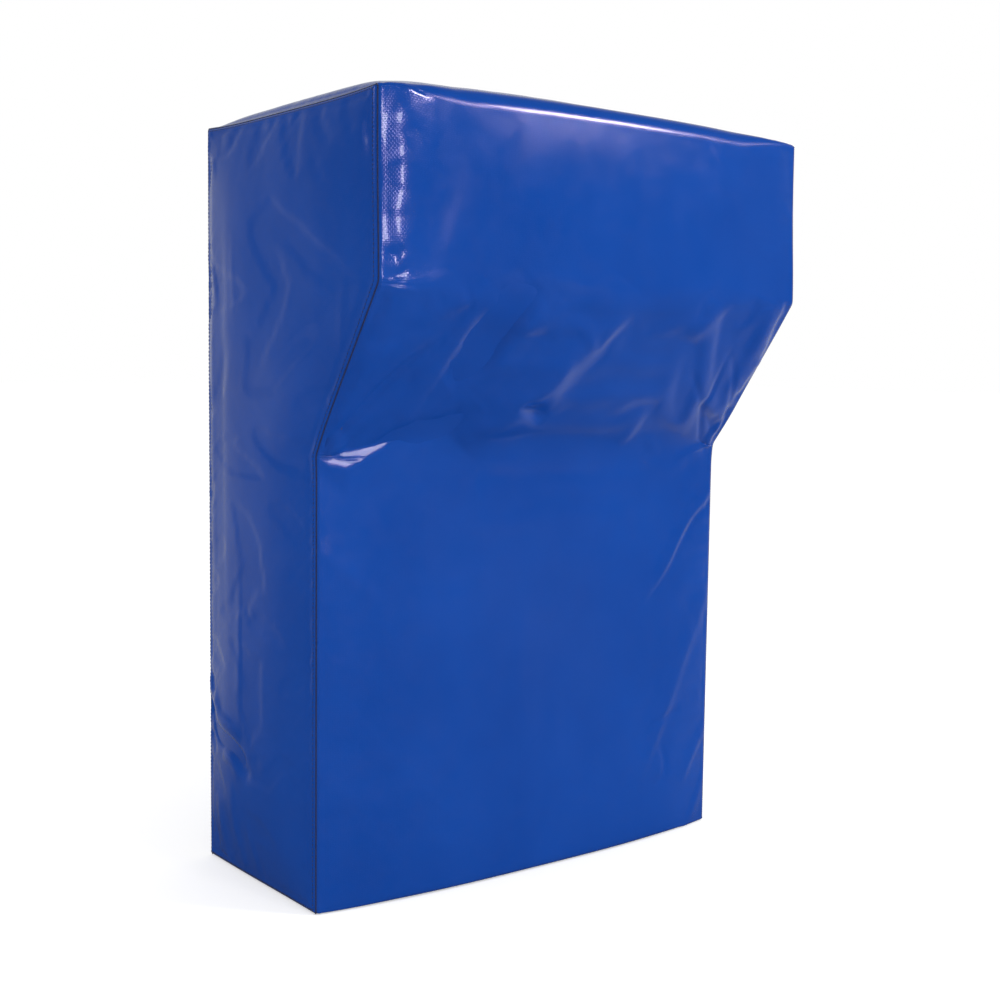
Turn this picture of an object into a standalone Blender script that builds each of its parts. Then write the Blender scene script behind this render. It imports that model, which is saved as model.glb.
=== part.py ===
"""Tackle shield: a foam-filled contact pad with a thick head, a slope under it and a thinner lower part.

The vinyl cover has a front panel that wraps over the top, two side panels, a base and a back that
a zip splits low down. Two webbing loops on the back hold the forearm and the hand.

+Z is up, the striking front faces -Y, X runs across. The origin is the middle of the flat base.
"""
import math

import bmesh
import bpy

MM = 0.001

# Overall size
HEIGHT = 700 * MM
WIDTH = 485 * MM
HEAD_DEPTH = 298 * MM
BASE_DEPTH = 202 * MM
HEAD_FACE = 155 * MM
SLOPE_DROP = 143 * MM

# Cover: thickness, the gap left between pieces that touch, and the rounding of its edges
VINYL = 1.2 * MM
SEAT_GAP = 0.3 * MM
EDGE_ROLL = 8 * MM
TOP_FRONT_RADIUS = 16 * MM
TOP_BACK_RADIUS = 8 * MM
HEAD_LOW_RADIUS = 30 * MM
CREASE_RADIUS = 30 * MM
BASE_FRONT_RADIUS = 6 * MM
BASE_BACK_RADIUS = 9 * MM
LEAST_RADIUS = 2 * MM

# How far the filled cover swells past its straight outline in the middle of its width: the corners move
# forward, up or down, and the runs between them bow out
TOP_BACK_RISE = 2 * MM
TOP_FRONT_REACH = 5 * MM
TOP_FRONT_RISE = 6 * MM
HEAD_LOW_REACH = 7 * MM
HEAD_LOW_DROP = 2 * MM
CREASE_REACH = 6 * MM
CREASE_DROP = 3 * MM
BASE_FRONT_REACH = 17 * MM
TOP_CROWN = 2 * MM
HEAD_CROWN = 3 * MM
SLOPE_CROWN = 2 * MM
LOWER_CROWN = 2 * MM
SIDE_CROWN = 8 * MM
CROWN_POWER = 3

# The top stands up steeply beside its side seams, like a pillow
TOP_PILLOW = 10 * MM
TOP_BACK_PILLOW = 1 * MM
TOP_FRONT_PILLOW = 1.5 * MM
PILLOW_POWER = 24
PILLOW_END_POWER = 6

# Binding over the raw seam edges inside
BINDING_WIDTH = 12 * MM
BINDING_THICKNESS = 1.2 * MM
REBATE_RAMP = 2 * MM

# Foam
FACE_FOAM = 25 * MM
BACK_FOAM = 40 * MM

# Zip across the low back
ZIP_Z = 58 * MM
ZIP_SLOT = 12 * MM
ZIP_TAPE_WIDTH = 14 * MM
ZIP_TAPE_THICKNESS = 0.8 * MM
COIL_WIDTH = 2.4 * MM
COIL_THICKNESS = 2.2 * MM
ZIP_STOP_LENGTH = 2.5 * MM
ZIP_TAB_EDGE = 20.2 * MM
ZIP_TAB_WIDTH = 28 * MM
ZIP_TAB_HEIGHT = 36 * MM
ZIP_TAB_SETBACK = 1.5 * MM
GROOVE_MARGIN = 1 * MM

# Zip slider and its pull
SLIDER_LENGTH = 11 * MM
SLIDER_WALL = 1.2 * MM
SLIDER_START_GAP = 0.5 * MM
SLIDER_BASE_LENGTH = 9 * MM
SLIDER_BASE_THICKNESS = 1.0 * MM
BRIDGE_WIDTH = 2.4 * MM
BRIDGE_WALL = 1.0 * MM
BRIDGE_ROOT = 0.4 * MM
BRIDGE_REACH = 2.0 * MM
PULL_THICKNESS = 1.2 * MM
PULL_WIDTH = 8 * MM
PULL_LENGTH = 32 * MM
PULL_EYE_LENGTH = 8 * MM
PULL_CLEARANCE = 0.3 * MM
PULL_CORNER = 2 * MM

# Webbing loops on the back
STRAP_CENTRE_Z = 400 * MM
WEBBING = 2.5 * MM
STRAP_BEND_RADIUS = 9 * MM
STRAP_CLEARANCE = 2.5 * MM
STRAP_ARCH_POWER = 3
PATCH_THICKNESS = 1.2 * MM
PATCH_INNER_MARGIN = 12 * MM
PATCH_OUTER_MARGIN = 10 * MM
PATCH_SIDE_MARGIN = 15 * MM
PATCH_CORNER = 8 * MM

ARM_X = -95 * MM
ARM_WIDTH = 50 * MM
ARM_HALF_SPAN = 112 * MM
ARM_STANDOFF = 76 * MM
ARM_SEWN = 48 * MM
ARM_SWING = math.radians(35)
ARM_PAD_FOAM = 8 * MM
ARM_PAD_OVERHANG = 10 * MM
ARM_PAD_WALL = 1.5 * MM
ARM_PAD_CORNER = 3 * MM

GRIP_X = 115 * MM
GRIP_WIDTH = 25 * MM
GRIP_HALF_SPAN = 78 * MM
GRIP_STANDOFF = 54 * MM
GRIP_SEWN = 40 * MM
GRIP_SWING = math.radians(40)
GRIP_FOAM_WIDTH = 35 * MM
GRIP_FOAM_DEPTH = 22 * MM
GRIP_WALL = 1.4 * MM

# Vent eyelets through the back
EYELET_EDGE = 57.5 * MM
EYELET_RISE = 150 * MM
EYELET_DROP = 68 * MM
EYELET_BORE = 9 * MM
EYELET_WALL = 0.7 * MM
EYELET_FLANGE = 18 * MM
EYELET_FLANGE_THICKNESS = 0.9 * MM
EYELET_ROLL = 14 * MM
EYELET_ROLL_THICKNESS = 0.6 * MM
EYELET_CLEARANCE = 1 * MM

# Cutters run past what they cut by this much
OVERRUN = 40 * MM

# Shares of the flat half width where the panels carry a row of points, and of a run along the outline
STATION_SHARES = (0, 0.36, 0.68, 0.88)
SIDE_RING_SHARES = (0.24, 0.5, 0.8)
TOP_RUN_SHARES = (0.05, 0.18, 0.5, 0.82, 0.95)
SHORT_RUN_SHARES = (0.33, 0.67)
LONG_RUN_SHARES = (0.2, 0.4, 0.6, 0.8)
CORNER_STEPS = 2
TOP_FRONT_STEPS = 4
ROLL_STEPS = 2
ARM_PATH_SHARES = (1, 0.92, 0.84, 0.75, 0.65, 0.54, 0.42, 0.28, 0.14, 0)
ARM_PAD_SHARE = 0.6
GRIP_PATH_SHARES = (1, 0.91, 0.81, 0.7, 0.57, 0.42, 0.22, 0)
GRIP_PAD_SHARE = 0.55
ROUND_STEPS = 20
OVAL_STEPS = 12
OVAL_POWER_SHARE = 0.75

# Places worked out from the sizes above
HEAD_BREAK_Z = HEIGHT - HEAD_FACE
SLOPE_END_Z = HEAD_BREAK_Z - SLOPE_DROP
BACK_Y = BASE_DEPTH / 2
LOWER_Y = BACK_Y - BASE_DEPTH
HEAD_Y = BACK_Y - HEAD_DEPTH
FLAT_HALF = WIDTH / 2 - EDGE_ROLL
FOAM_INSET = VINYL + SEAT_GAP
REBATE_INSET = FOAM_INSET + BINDING_THICKNESS + SEAT_GAP
FACE_INSET = FOAM_INSET + FACE_FOAM
ZIP_TAB_START = WIDTH / 2 - ZIP_TAB_EDGE - ZIP_TAB_WIDTH
ZIP_STOP_START = ZIP_TAB_START - ZIP_TAB_SETBACK - ZIP_STOP_LENGTH
ZIP_HALF = ZIP_STOP_START - SEAT_GAP
TAPE_OUTER_Y = BACK_Y - VINYL - SEAT_GAP
TAPE_INNER_Y = TAPE_OUTER_Y - ZIP_TAPE_THICKNESS
COIL_BASE_Y = TAPE_OUTER_Y + SEAT_GAP
COIL_TOP_Y = COIL_BASE_Y + COIL_THICKNESS
SLIDER_ROOF_Y = COIL_TOP_Y + SEAT_GAP + SLIDER_WALL
SLIDER_BASE_Y = TAPE_INNER_Y - SEAT_GAP - SLIDER_BASE_THICKNESS
PATCH_TOP_Y = BACK_Y + SEAT_GAP + PATCH_THICKNESS
SEWN_Y = PATCH_TOP_Y + SEAT_GAP + WEBBING / 2

COLOURS = {
    "blue_vinyl": (0.012, 0.065, 0.36, 1),
    "dark_vinyl": (0.015, 0.016, 0.02, 1),
    "foam_soft": (0.75, 0.72, 0.6, 1),
    "foam_firm": (0.3, 0.32, 0.35, 1),
    "binding": (0.02, 0.02, 0.025, 1),
    "zip_tape": (0.02, 0.02, 0.024, 1),
    "zip_coil": (0.03, 0.03, 0.034, 1),
    "zip_metal": (0.55, 0.55, 0.56, 1),
    "webbing": (0.018, 0.018, 0.022, 1),
    "eyelet_brass": (0.72, 0.52, 0.24, 1),
}
ROUGHNESS = {
    "blue_vinyl": 0.28,
    "dark_vinyl": 0.4,
    "foam_soft": 0.95,
    "foam_firm": 0.9,
    "binding": 0.85,
    "zip_tape": 0.85,
    "zip_coil": 0.5,
    "zip_metal": 0.3,
    "webbing": 0.8,
    "eyelet_brass": 0.3,
}
METALS = ("zip_metal", "eyelet_brass")


def clear_scene():
    """Empties the scene so that the file can be run again."""
    for item in list(bpy.data.objects):
        bpy.data.objects.remove(item, do_unlink=True)


def material(name):
    """One plain material for each finish, made once."""
    found = bpy.data.materials.get(name)
    if found:
        return found
    made = bpy.data.materials.new(name)
    made.use_nodes = True
    shader = made.node_tree.nodes["Principled BSDF"]
    shader.inputs["Base Color"].default_value = COLOURS[name]
    shader.inputs["Roughness"].default_value = ROUGHNESS[name]
    shader.inputs["Metallic"].default_value = 1 if name in METALS else 0
    return made


def add_object(name, bm, finish, origin=(0, 0, 0), smooth=True):
    """Turns a bmesh into a named object whose origin lies at the given place."""
    bmesh.ops.recalc_face_normals(bm, faces=bm.faces[:])
    for vert in bm.verts:
        vert.co.x -= origin[0]
        vert.co.y -= origin[1]
        vert.co.z -= origin[2]
    mesh = bpy.data.meshes.new(name)
    bm.to_mesh(mesh)
    bm.free()
    if smooth:
        mesh.shade_smooth()
        mesh.set_sharp_from_angle(angle=math.radians(35))
    made = bpy.data.objects.new(name, mesh)
    made.location = origin
    made.data.materials.append(material(finish))
    bpy.context.collection.objects.link(made)
    return made


def add_patch(bm, left, right, k, after):
    """Two triangles between neighbouring rows, split alike in every layer so that layers stay parallel."""
    if left[0].co.x > right[0].co.x:
        left, right = right, left
    bm.faces.new((left[k], left[after], right[after]))
    bm.faces.new((left[k], right[after], right[k]))


def skin_rings(rings, cyclic=False):
    """Joins rings of equal count, and caps the ends unless the rings close on themselves."""
    bm = bmesh.new()
    rows = [[bm.verts.new(point) for point in ring] for ring in rings]
    count = len(rows[0])
    pairs = list(zip(rows, rows[1:]))
    if cyclic:
        pairs.append((rows[-1], rows[0]))
    for low, high in pairs:
        for k in range(count):
            add_patch(bm, low, high, k, (k + 1) % count)
    if not cyclic:
        bm.faces.new(rows[0])
        bm.faces.new(rows[-1])
    return bm


def skin_layers(outer, inner):
    """Closes two grids of points, an outer and an inner face of a panel, with walls at the four rims."""
    bm = bmesh.new()
    top = [[bm.verts.new(point) for point in row] for row in outer]
    low = [[bm.verts.new(point) for point in row] for row in inner]
    rows, columns = len(top), len(top[0])
    for i in range(rows - 1):
        for j in range(columns - 1):
            for grid in (top, low):
                add_patch(bm, grid[i], grid[i + 1], j, j + 1)
    for i in range(rows - 1):
        for j in (0, columns - 1):
            bm.faces.new((top[i][j], top[i + 1][j], low[i + 1][j], low[i][j]))
    for j in range(columns - 1):
        for i in (0, rows - 1):
            bm.faces.new((top[i][j], top[i][j + 1], low[i][j + 1], low[i][j]))
    return bm


def block(low, high):
    """A plain box between two corners."""
    rings = []
    for x in (low[0], high[0]):
        rings.append(
            [(x, low[1], low[2]), (x, high[1], low[2]), (x, high[1], high[2]), (x, low[1], high[2])]
        )
    return skin_rings(rings)


def cut(target, tool, operation, solver="EXACT"):
    """A Boolean on the target with a hidden tool object."""
    tool.hide_render = True
    tool.display_type = "WIRE"
    change = target.modifiers.new(tool.name, "BOOLEAN")
    change.operation = operation
    change.object = tool
    change.solver = solver


def slope_normal():
    """The outward direction of the slope under the head, in Y and Z."""
    run_y, run_z = LOWER_Y - HEAD_Y, SLOPE_END_Z - HEAD_BREAK_Z
    length = math.hypot(run_y, run_z)
    return run_z / length, -run_y / length


def slope_z(y, inset):
    """Height of the slope's plane at a depth y, moved into the body by the inset."""
    normal_y, normal_z = slope_normal()
    start_y = HEAD_Y - normal_y * inset
    start_z = HEAD_BREAK_Z - normal_z * inset
    return start_z - (y - start_y) * normal_y / normal_z


def corner_table(inset):
    """The outline's six corners: name, place, radius, arc steps, the swelling in Y and Z, and the pillow."""
    low_z, high_z, back_y = inset, HEIGHT - inset, BACK_Y - inset
    head_y, lower_y = HEAD_Y + inset, LOWER_Y + inset
    break_z, crease_z = slope_z(head_y, inset), slope_z(lower_y, inset)
    return (
        ("base_back", (back_y, low_z), BASE_BACK_RADIUS, CORNER_STEPS, (0, 0, 0)),
        ("top_back", (back_y, high_z), TOP_BACK_RADIUS, CORNER_STEPS, (0, TOP_BACK_RISE, TOP_BACK_PILLOW)),
        (
            "top_front",
            (head_y, high_z),
            TOP_FRONT_RADIUS,
            TOP_FRONT_STEPS,
            (-TOP_FRONT_REACH, TOP_FRONT_RISE, TOP_FRONT_PILLOW),
        ),
        ("head_low", (head_y, break_z), HEAD_LOW_RADIUS, CORNER_STEPS, (-HEAD_LOW_REACH, -HEAD_LOW_DROP, 0)),
        ("crease", (lower_y, crease_z), CREASE_RADIUS, CORNER_STEPS, (-CREASE_REACH, -CREASE_DROP, 0)),
        ("base_front", (lower_y, low_z), BASE_FRONT_RADIUS, CORNER_STEPS, (-BASE_FRONT_REACH, 0, 0)),
    )


# The stretch after each corner: name, shares where it carries a row, its bow, and its pillow
RUNS = (
    ("back", (), 0, 0),
    ("top", TOP_RUN_SHARES, TOP_CROWN, TOP_PILLOW),
    ("head", SHORT_RUN_SHARES, HEAD_CROWN, 0),
    ("slope", SHORT_RUN_SHARES, SLOPE_CROWN, 0),
    ("lower", LONG_RUN_SHARES, LOWER_CROWN, 0),
    ("base", (), 0, 0),
)


def direction(start, end):
    """Unit step from one point to another."""
    length = math.hypot(end[0] - start[0], end[1] - start[1])
    return (end[0] - start[0]) / length, (end[1] - start[1]) / length


def outline(inset):
    """The side outline moved inwards, as named sections.

    A point is (y, z, normal y, normal z, swelling in y, swelling in z, pillow, bow along the normal).
    """
    table = corner_table(inset)
    count = len(table)
    arcs = []
    for k, (name, point, radius, steps, swelling) in enumerate(table):
        before = direction(table[k - 1][1], point)
        after = direction(point, table[(k + 1) % count][1])
        turn = math.atan2(before[0] * after[1] - before[1] * after[0], before[0] * after[0] + before[1] * after[1])
        convex = turn > 0
        radius = max(radius - inset, LEAST_RADIUS) if convex else radius + inset
        reach = radius * math.tan(abs(turn) / 2)
        side = 1 if convex else -1
        normal = (before[1], -before[0])
        start = (point[0] - before[0] * reach, point[1] - before[1] * reach)
        centre = (start[0] - side * normal[0] * radius, start[1] - side * normal[1] * radius)
        points = []
        for step in range(steps + 1):
            angle = turn * step / steps
            ny = normal[0] * math.cos(angle) - normal[1] * math.sin(angle)
            nz = normal[0] * math.sin(angle) + normal[1] * math.cos(angle)
            y = centre[0] + side * ny * radius
            z = centre[1] + side * nz * radius
            points.append((y, z, ny, nz, *swelling, 0))
        arcs.append((name, points))
    sections = []
    for k, (name, shares, crown, run_pillow) in enumerate(RUNS):
        first, last = arcs[k][1][-1], arcs[(k + 1) % count][1][0]
        sections.append(arcs[k])
        run = []
        for share in shares:
            *place, pillow, bow = [a + (b - a) * share for a, b in zip(first, last)]
            pillow += run_pillow * (1 - (2 * share - 1) ** PILLOW_END_POWER)
            run.append((*place, pillow, bow + crown * 4 * share * (1 - share)))
        sections.append((name, run))
    return sections


def closed_path(sections):
    """All the outline's points in one loop."""
    return [point for _, points in sections for point in points]


def shortened(points, gap):
    """A path with its two end points drawn back by half of the gap."""
    result = list(points)
    for end, beside in ((0, 1), (-1, -2)):
        a, b = result[end], result[beside]
        share = gap / 2 / math.hypot(b[0] - a[0], b[1] - a[1])
        result[end] = tuple(p + (q - p) * share for p, q in zip(a, b))
    return result


def seam_to_seam(sections, start, end):
    """The path between two corners, from the middle of one rounding to the middle of the other."""
    names = [name for name, _ in sections]
    first, last = names.index(start), names.index(end)
    order = list(range(first + 1, last)) if first < last else [*range(first + 1, len(names)), *range(last)]
    opening, closing = sections[first][1], sections[last][1]
    path = opening[len(opening) // 2 :]
    for k in order:
        path = path + sections[k][1]
    path = path + closing[: len(closing) // 2 + 1]
    return shortened(path, SEAT_GAP)


def swell(x, power):
    """How much of its swelling the cover has at a place across the width."""
    return 1 - min(abs(x) / FLAT_HALF, 1) ** power


def placed(point, x):
    """A point of the outline at a place across the width, pushed out by its swelling."""
    y, z, ny, nz, swell_y, swell_z, pillow, bow = point
    push = swell(x, CROWN_POWER)
    rise = pillow * swell(x, PILLOW_POWER)
    return (x, y + (swell_y + ny * bow) * push, z + (swell_z + nz * bow) * push + rise)


def flat_stations():
    """Places across the flat of the width, from the middle to the edge's rounding."""
    rebate = FLAT_HALF - BINDING_WIDTH - SEAT_GAP
    return [share * FLAT_HALF for share in STATION_SHARES] + [rebate - REBATE_RAMP, rebate, FLAT_HALF]


def mirrored(stations):
    """A list of (x, inset) from the middle out, continued to the other side."""
    return [(-x, inset) for x, inset in reversed(stations[1:])] + stations


def roll_place(angle, radius):
    """Distance across and inset of a point on the rounding of a side seam."""
    return FLAT_HALF + radius * math.cos(angle), EDGE_ROLL - radius * math.sin(angle)


def panel_stations(inset):
    """The rows of a wrapped panel's face at an inset, out to the side seams."""
    stations = [(x, inset) for x in flat_stations()]
    radius = EDGE_ROLL - inset
    seam = math.pi / 4 + SEAT_GAP / 2 / radius
    for step in range(1, ROLL_STEPS + 1):
        angle = math.pi / 2 + (seam - math.pi / 2) * step / ROLL_STEPS
        stations.append(roll_place(angle, radius))
    return mirrored(stations)


def wrapped_panel(name, pick, finish="blue_vinyl"):
    """A cover panel that runs across the width, along the stretch of the outline that pick returns."""
    layers = []
    for layer_inset in (0, VINYL):
        rows = []
        for x, inset in panel_stations(layer_inset):
            rows.append([placed(point, x) for point in pick(outline(inset))])
        layers.append(rows)
    return add_object(name, skin_layers(*layers), finish)


def front_wrap_panel():
    """Striking face and top in one piece, from the back seam over the top to the base seam."""
    return wrapped_panel("front_wrap_panel", lambda parts: seam_to_seam(parts, "top_back", "base_front"))


def base_panel():
    """Flat bottom of the cover."""
    return wrapped_panel("base_panel", lambda parts: seam_to_seam(parts, "base_front", "base_back"))


def back_stretch(parts, low_z, high_z):
    """The back's part of the outline, with one end at a free height in place of a seam."""
    path = seam_to_seam(parts, "base_back", "top_back")
    kept = [point for point in path if (low_z is None or point[1] > low_z) and (high_z is None or point[1] < high_z)]
    y = max(point[0] for point in path)
    if low_z is not None:
        kept.insert(0, (y, low_z, 1, 0, 0, 0, 0, 0))
    if high_z is not None:
        kept.append((y, high_z, 1, 0, 0, 0, 0, 0))
    return kept


def back_panels():
    """Back of the cover above and below the zip's slot."""
    slot_low, slot_high = ZIP_Z - ZIP_SLOT / 2, ZIP_Z + ZIP_SLOT / 2
    wrapped_panel("back_panel_lower", lambda parts: back_stretch(parts, None, slot_low))
    upper = wrapped_panel("back_panel_upper", lambda parts: back_stretch(parts, slot_high, None))
    hole = EYELET_BORE / 2 + EYELET_WALL + SEAT_GAP
    for number, (x, z) in enumerate(eyelet_places(), 1):
        tool = round_tool(f"eyelet_hole_{number}", x, z, hole, BACK_Y - OVERRUN, BACK_Y + OVERRUN)
        cut(upper, tool, "DIFFERENCE")


def side_insets():
    """Insets of the rings that carry a side panel's swelling."""
    return [share * BASE_DEPTH / 2 for share in SIDE_RING_SHARES]


def side_bulge(inset):
    """How far a side stands out at an inset from its outline."""
    deepest = side_insets()[-1]
    share = min(max((inset - EDGE_ROLL) / (deepest - EDGE_ROLL), 0), 1)
    return SIDE_CROWN * (1 - (1 - share) ** 2)


def side_rings(side, depth, seam_gap):
    """Rings of a side panel's face at a depth in the cover, from the seam to the middle."""
    radius = EDGE_ROLL - depth
    seam = math.pi / 4 - seam_gap / 2 / radius
    rings = []
    for step in range(ROLL_STEPS + 1):
        x, inset = roll_place(seam * (1 - step / ROLL_STEPS), radius)
        rings.append([(side * x, point[0], point[1]) for point in closed_path(outline(inset))])
    for inset in side_insets():
        x = FLAT_HALF + radius + side_bulge(inset)
        rings.append([(side * x, point[0], point[1]) for point in closed_path(outline(inset))])
    return rings


def side_panel(name, side):
    """Side of the cover, seamed all round to its neighbours."""
    outer = side_rings(side, 0, SEAT_GAP)
    inner = side_rings(side, VINYL, SEAT_GAP)
    return add_object(name, skin_rings(outer[::-1] + inner), "blue_vinyl")


def seam_binding(name, side):
    """Tape folded over the raw edges, pressed flat inside the cover beside a side seam."""
    rings = []
    for width_place, inset in ((0, 0), (1, 0), (1, 1), (0, 1)):
        x = side * (FLAT_HALF - BINDING_WIDTH * (1 - width_place))
        depth = FOAM_INSET + BINDING_THICKNESS * inset
        rings.append([placed(point, x) for point in closed_path(outline(depth))])
    return add_object(name, skin_rings(rings, cyclic=True), "binding")


def foam_rings():
    """The whole filling's surface, from one side to the other."""
    half = []
    for x in flat_stations():
        inset = REBATE_INSET if x > FLAT_HALF - BINDING_WIDTH - SEAT_GAP - REBATE_RAMP / 2 else FOAM_INSET
        half.append((x, inset))
    across, down = EDGE_ROLL - FOAM_INSET, EDGE_ROLL - REBATE_INSET
    for step in range(1, ROLL_STEPS + 1):
        angle = math.pi / 2 * (1 - step / ROLL_STEPS)
        half.append((FLAT_HALF + across * math.cos(angle), EDGE_ROLL - down * math.sin(angle)))
    for inset in side_insets():
        half.append((FLAT_HALF + across + side_bulge(inset), inset))
    return [[placed(point, x) for point in closed_path(outline(inset))] for x, inset in mirrored(half)]


def prism(name, shape):
    """A side-view shape run past both sides, as a tool."""
    reach = WIDTH / 2 + OVERRUN
    rings = [[(x, y, z) for y, z in shape] for x in (-reach, reach)]
    return add_object(name, skin_rings(rings), "foam_soft", smooth=False)


def foam_piece(name, finish, shape):
    """The part of the filling that lies inside a side-view shape.

    The exact solver leaves open edges on the swollen top, so these cuts use the manifold one.
    """
    piece = add_object(name, skin_rings(foam_rings()), finish)
    cut(piece, prism(name + "_region", shape), "INTERSECT", "MANIFOLD")
    return piece


def foam_pieces():
    """A firm back slab, a full-height core, a wedge that makes the head, and a soft striking layer."""
    low, high = -OVERRUN, HEIGHT + OVERRUN
    slab_front = BACK_Y - FOAM_INSET - BACK_FOAM
    slab = foam_piece(
        "foam_back_slab",
        "foam_firm",
        ((slab_front, low), (BACK_Y + OVERRUN, low), (BACK_Y + OVERRUN, high), (slab_front, high)),
    )
    core_front = LOWER_Y + FACE_INSET + SEAT_GAP
    core_back = slab_front - SEAT_GAP
    foam_piece(
        "foam_core_block",
        "foam_soft",
        ((core_front, low), (core_back, low), (core_back, high), (core_front, high)),
    )
    wedge_inset = FACE_INSET + SEAT_GAP
    wedge_front, wedge_back = HEAD_Y + wedge_inset, LOWER_Y + FACE_INSET
    foam_piece(
        "foam_head_wedge",
        "foam_soft",
        (
            (wedge_front, slope_z(wedge_front, wedge_inset)),
            (wedge_back, slope_z(wedge_back, wedge_inset)),
            (wedge_back, high),
            (wedge_front, high),
        ),
    )
    far_front = HEAD_Y - OVERRUN
    head_inner, lower_inner = HEAD_Y + FACE_INSET, LOWER_Y + FACE_INSET
    foam_piece(
        "foam_face_layer",
        "foam_soft",
        (
            (far_front, low),
            (lower_inner, low),
            (lower_inner, slope_z(lower_inner, FACE_INSET)),
            (head_inner, slope_z(head_inner, FACE_INSET)),
            (head_inner, high),
            (far_front, high),
        ),
    )
    relieve_back_slab(slab)


def relieve_back_slab(slab):
    """Hollows in the slab for the zip's tapes and slider and for the eyelets' rolled ends."""
    half = ZIP_TAPE_WIDTH + GROOVE_MARGIN
    reach = WIDTH / 2 + OVERRUN
    floor_y = SLIDER_BASE_Y - SEAT_GAP
    groove = add_object(
        "zip_groove",
        block((-reach, floor_y, ZIP_Z - half), (reach, BACK_Y + OVERRUN, ZIP_Z + half)),
        "foam_firm",
        smooth=False,
    )
    cut(slab, groove, "DIFFERENCE", "MANIFOLD")
    pocket_floor = BACK_Y - VINYL - SEAT_GAP - EYELET_ROLL_THICKNESS - SEAT_GAP
    for number, (x, z) in enumerate(eyelet_places(), 1):
        radius = EYELET_ROLL / 2 + EYELET_CLEARANCE
        tool = round_tool(f"eyelet_pocket_{number}", x, z, radius, pocket_floor, BACK_Y + OVERRUN)
        cut(slab, tool, "DIFFERENCE", "MANIFOLD")


def eyelet_places():
    """Centres of the four vent eyelets, across and up."""
    reach = WIDTH / 2 - EYELET_EDGE
    return [(x, z) for z in (EYELET_RISE, HEIGHT - EYELET_DROP) for x in (-reach, reach)]


def circle(radius, x, y, z):
    """Points of a circle that faces along Y."""
    points = []
    for step in range(ROUND_STEPS):
        angle = 2 * math.pi * step / ROUND_STEPS
        points.append((x + radius * math.cos(angle), y, z + radius * math.sin(angle)))
    return points


def round_tool(name, x, z, radius, low_y, high_y):
    """A round cutter along Y."""
    rings = [circle(radius, x, y, z) for y in (low_y, high_y)]
    return add_object(name, skin_rings(rings), "foam_firm", smooth=False)


def vent_eyelet(number, x, z):
    """A one-piece brass eyelet: a domed flange outside, a barrel, and a rolled rim inside."""
    bore = EYELET_BORE / 2
    barrel = bore + EYELET_WALL
    flange_low = BACK_Y + SEAT_GAP
    flange_high = flange_low + EYELET_FLANGE_THICKNESS
    roll_high = BACK_Y - VINYL - SEAT_GAP
    roll_low = roll_high - EYELET_ROLL_THICKNESS
    shoulder = (EYELET_FLANGE / 2 + barrel) / 2
    section = (
        (bore, roll_low),
        (bore, flange_high - EYELET_FLANGE_THICKNESS / 3),
        (barrel, flange_high),
        (shoulder, flange_high),
        (EYELET_FLANGE / 2, flange_low + EYELET_FLANGE_THICKNESS / 3),
        (EYELET_FLANGE / 2, flange_low),
        (barrel, flange_low),
        (barrel, roll_high),
        (EYELET_ROLL / 2, roll_high),
        (EYELET_ROLL / 2, roll_low),
    )
    rings = [circle(radius, x, y, z) for radius, y in section]
    add_object(f"vent_eyelet_{number}", skin_rings(rings, cyclic=True), "eyelet_brass")


def zip_strip(name, finish, side, low_y, high_y, near, far, chamfer=0):
    """A long strip of the zip on one side of its middle line."""
    half = ZIP_HALF if chamfer else FLAT_HALF - BINDING_WIDTH - SEAT_GAP
    near_z, far_z = ZIP_Z + side * near, ZIP_Z + side * far
    inner_z = near_z + side * chamfer
    outer_z = far_z - side * chamfer
    section = ((low_y, near_z), (high_y - chamfer, near_z), (high_y, inner_z))
    section += ((high_y, outer_z), (high_y - chamfer, far_z), (low_y, far_z))
    if not chamfer:
        section = ((low_y, near_z), (high_y, near_z), (high_y, far_z), (low_y, far_z))
    rings = [[(x, y, z) for y, z in section] for x in (-half, half)]
    return add_object(name, skin_rings(rings), finish)


def zip_chain():
    """Both tapes with their coils, the stops at the ends and the tabs that cover the ends."""
    middle = SEAT_GAP / 2
    for label, side in (("upper", 1), ("lower", -1)):
        zip_strip(f"zip_tape_{label}", "zip_tape", side, TAPE_INNER_Y, TAPE_OUTER_Y, middle, ZIP_TAPE_WIDTH)
        zip_strip(
            f"zip_coil_{label}",
            "zip_coil",
            side,
            COIL_BASE_Y,
            COIL_TOP_Y,
            middle,
            middle + COIL_WIDTH,
            COIL_WIDTH / 4,
        )
    half = middle + COIL_WIDTH
    for label, side in (("left", -1), ("right", 1)):
        near, far = sorted((side * ZIP_STOP_START, side * (ZIP_STOP_START + ZIP_STOP_LENGTH)))
        stop = block((near, COIL_BASE_Y, ZIP_Z - half), (far, COIL_TOP_Y, ZIP_Z + half))
        add_object(f"zip_stop_{label}", stop, "zip_metal", smooth=False)
        near, far = sorted((side * ZIP_TAB_START, side * (ZIP_TAB_START + ZIP_TAB_WIDTH)))
        rings = []
        for y in (BACK_Y + SEAT_GAP, PATCH_TOP_Y):
            shape = rounded_rectangle(near, far, ZIP_Z - ZIP_TAB_HEIGHT / 2, ZIP_Z + ZIP_TAB_HEIGHT / 2, PATCH_CORNER)
            rings.append([(x, y, z) for x, z in shape])
        add_object(f"zip_end_tab_{label}", skin_rings(rings), "blue_vinyl")


def rounded_rectangle(low_a, high_a, low_b, high_b, corner):
    """Points of a rectangle whose corners are rounded."""
    centres = (
        (high_a - corner, high_b - corner, 0),
        (low_a + corner, high_b - corner, 1),
        (low_a + corner, low_b + corner, 2),
        (high_a - corner, low_b + corner, 3),
    )
    points = []
    for a, b, quarter in centres:
        for step in range(4):
            angle = math.pi / 2 * (quarter + step / 3)
            points.append((a + corner * math.cos(angle), b + corner * math.sin(angle)))
    return points


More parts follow.
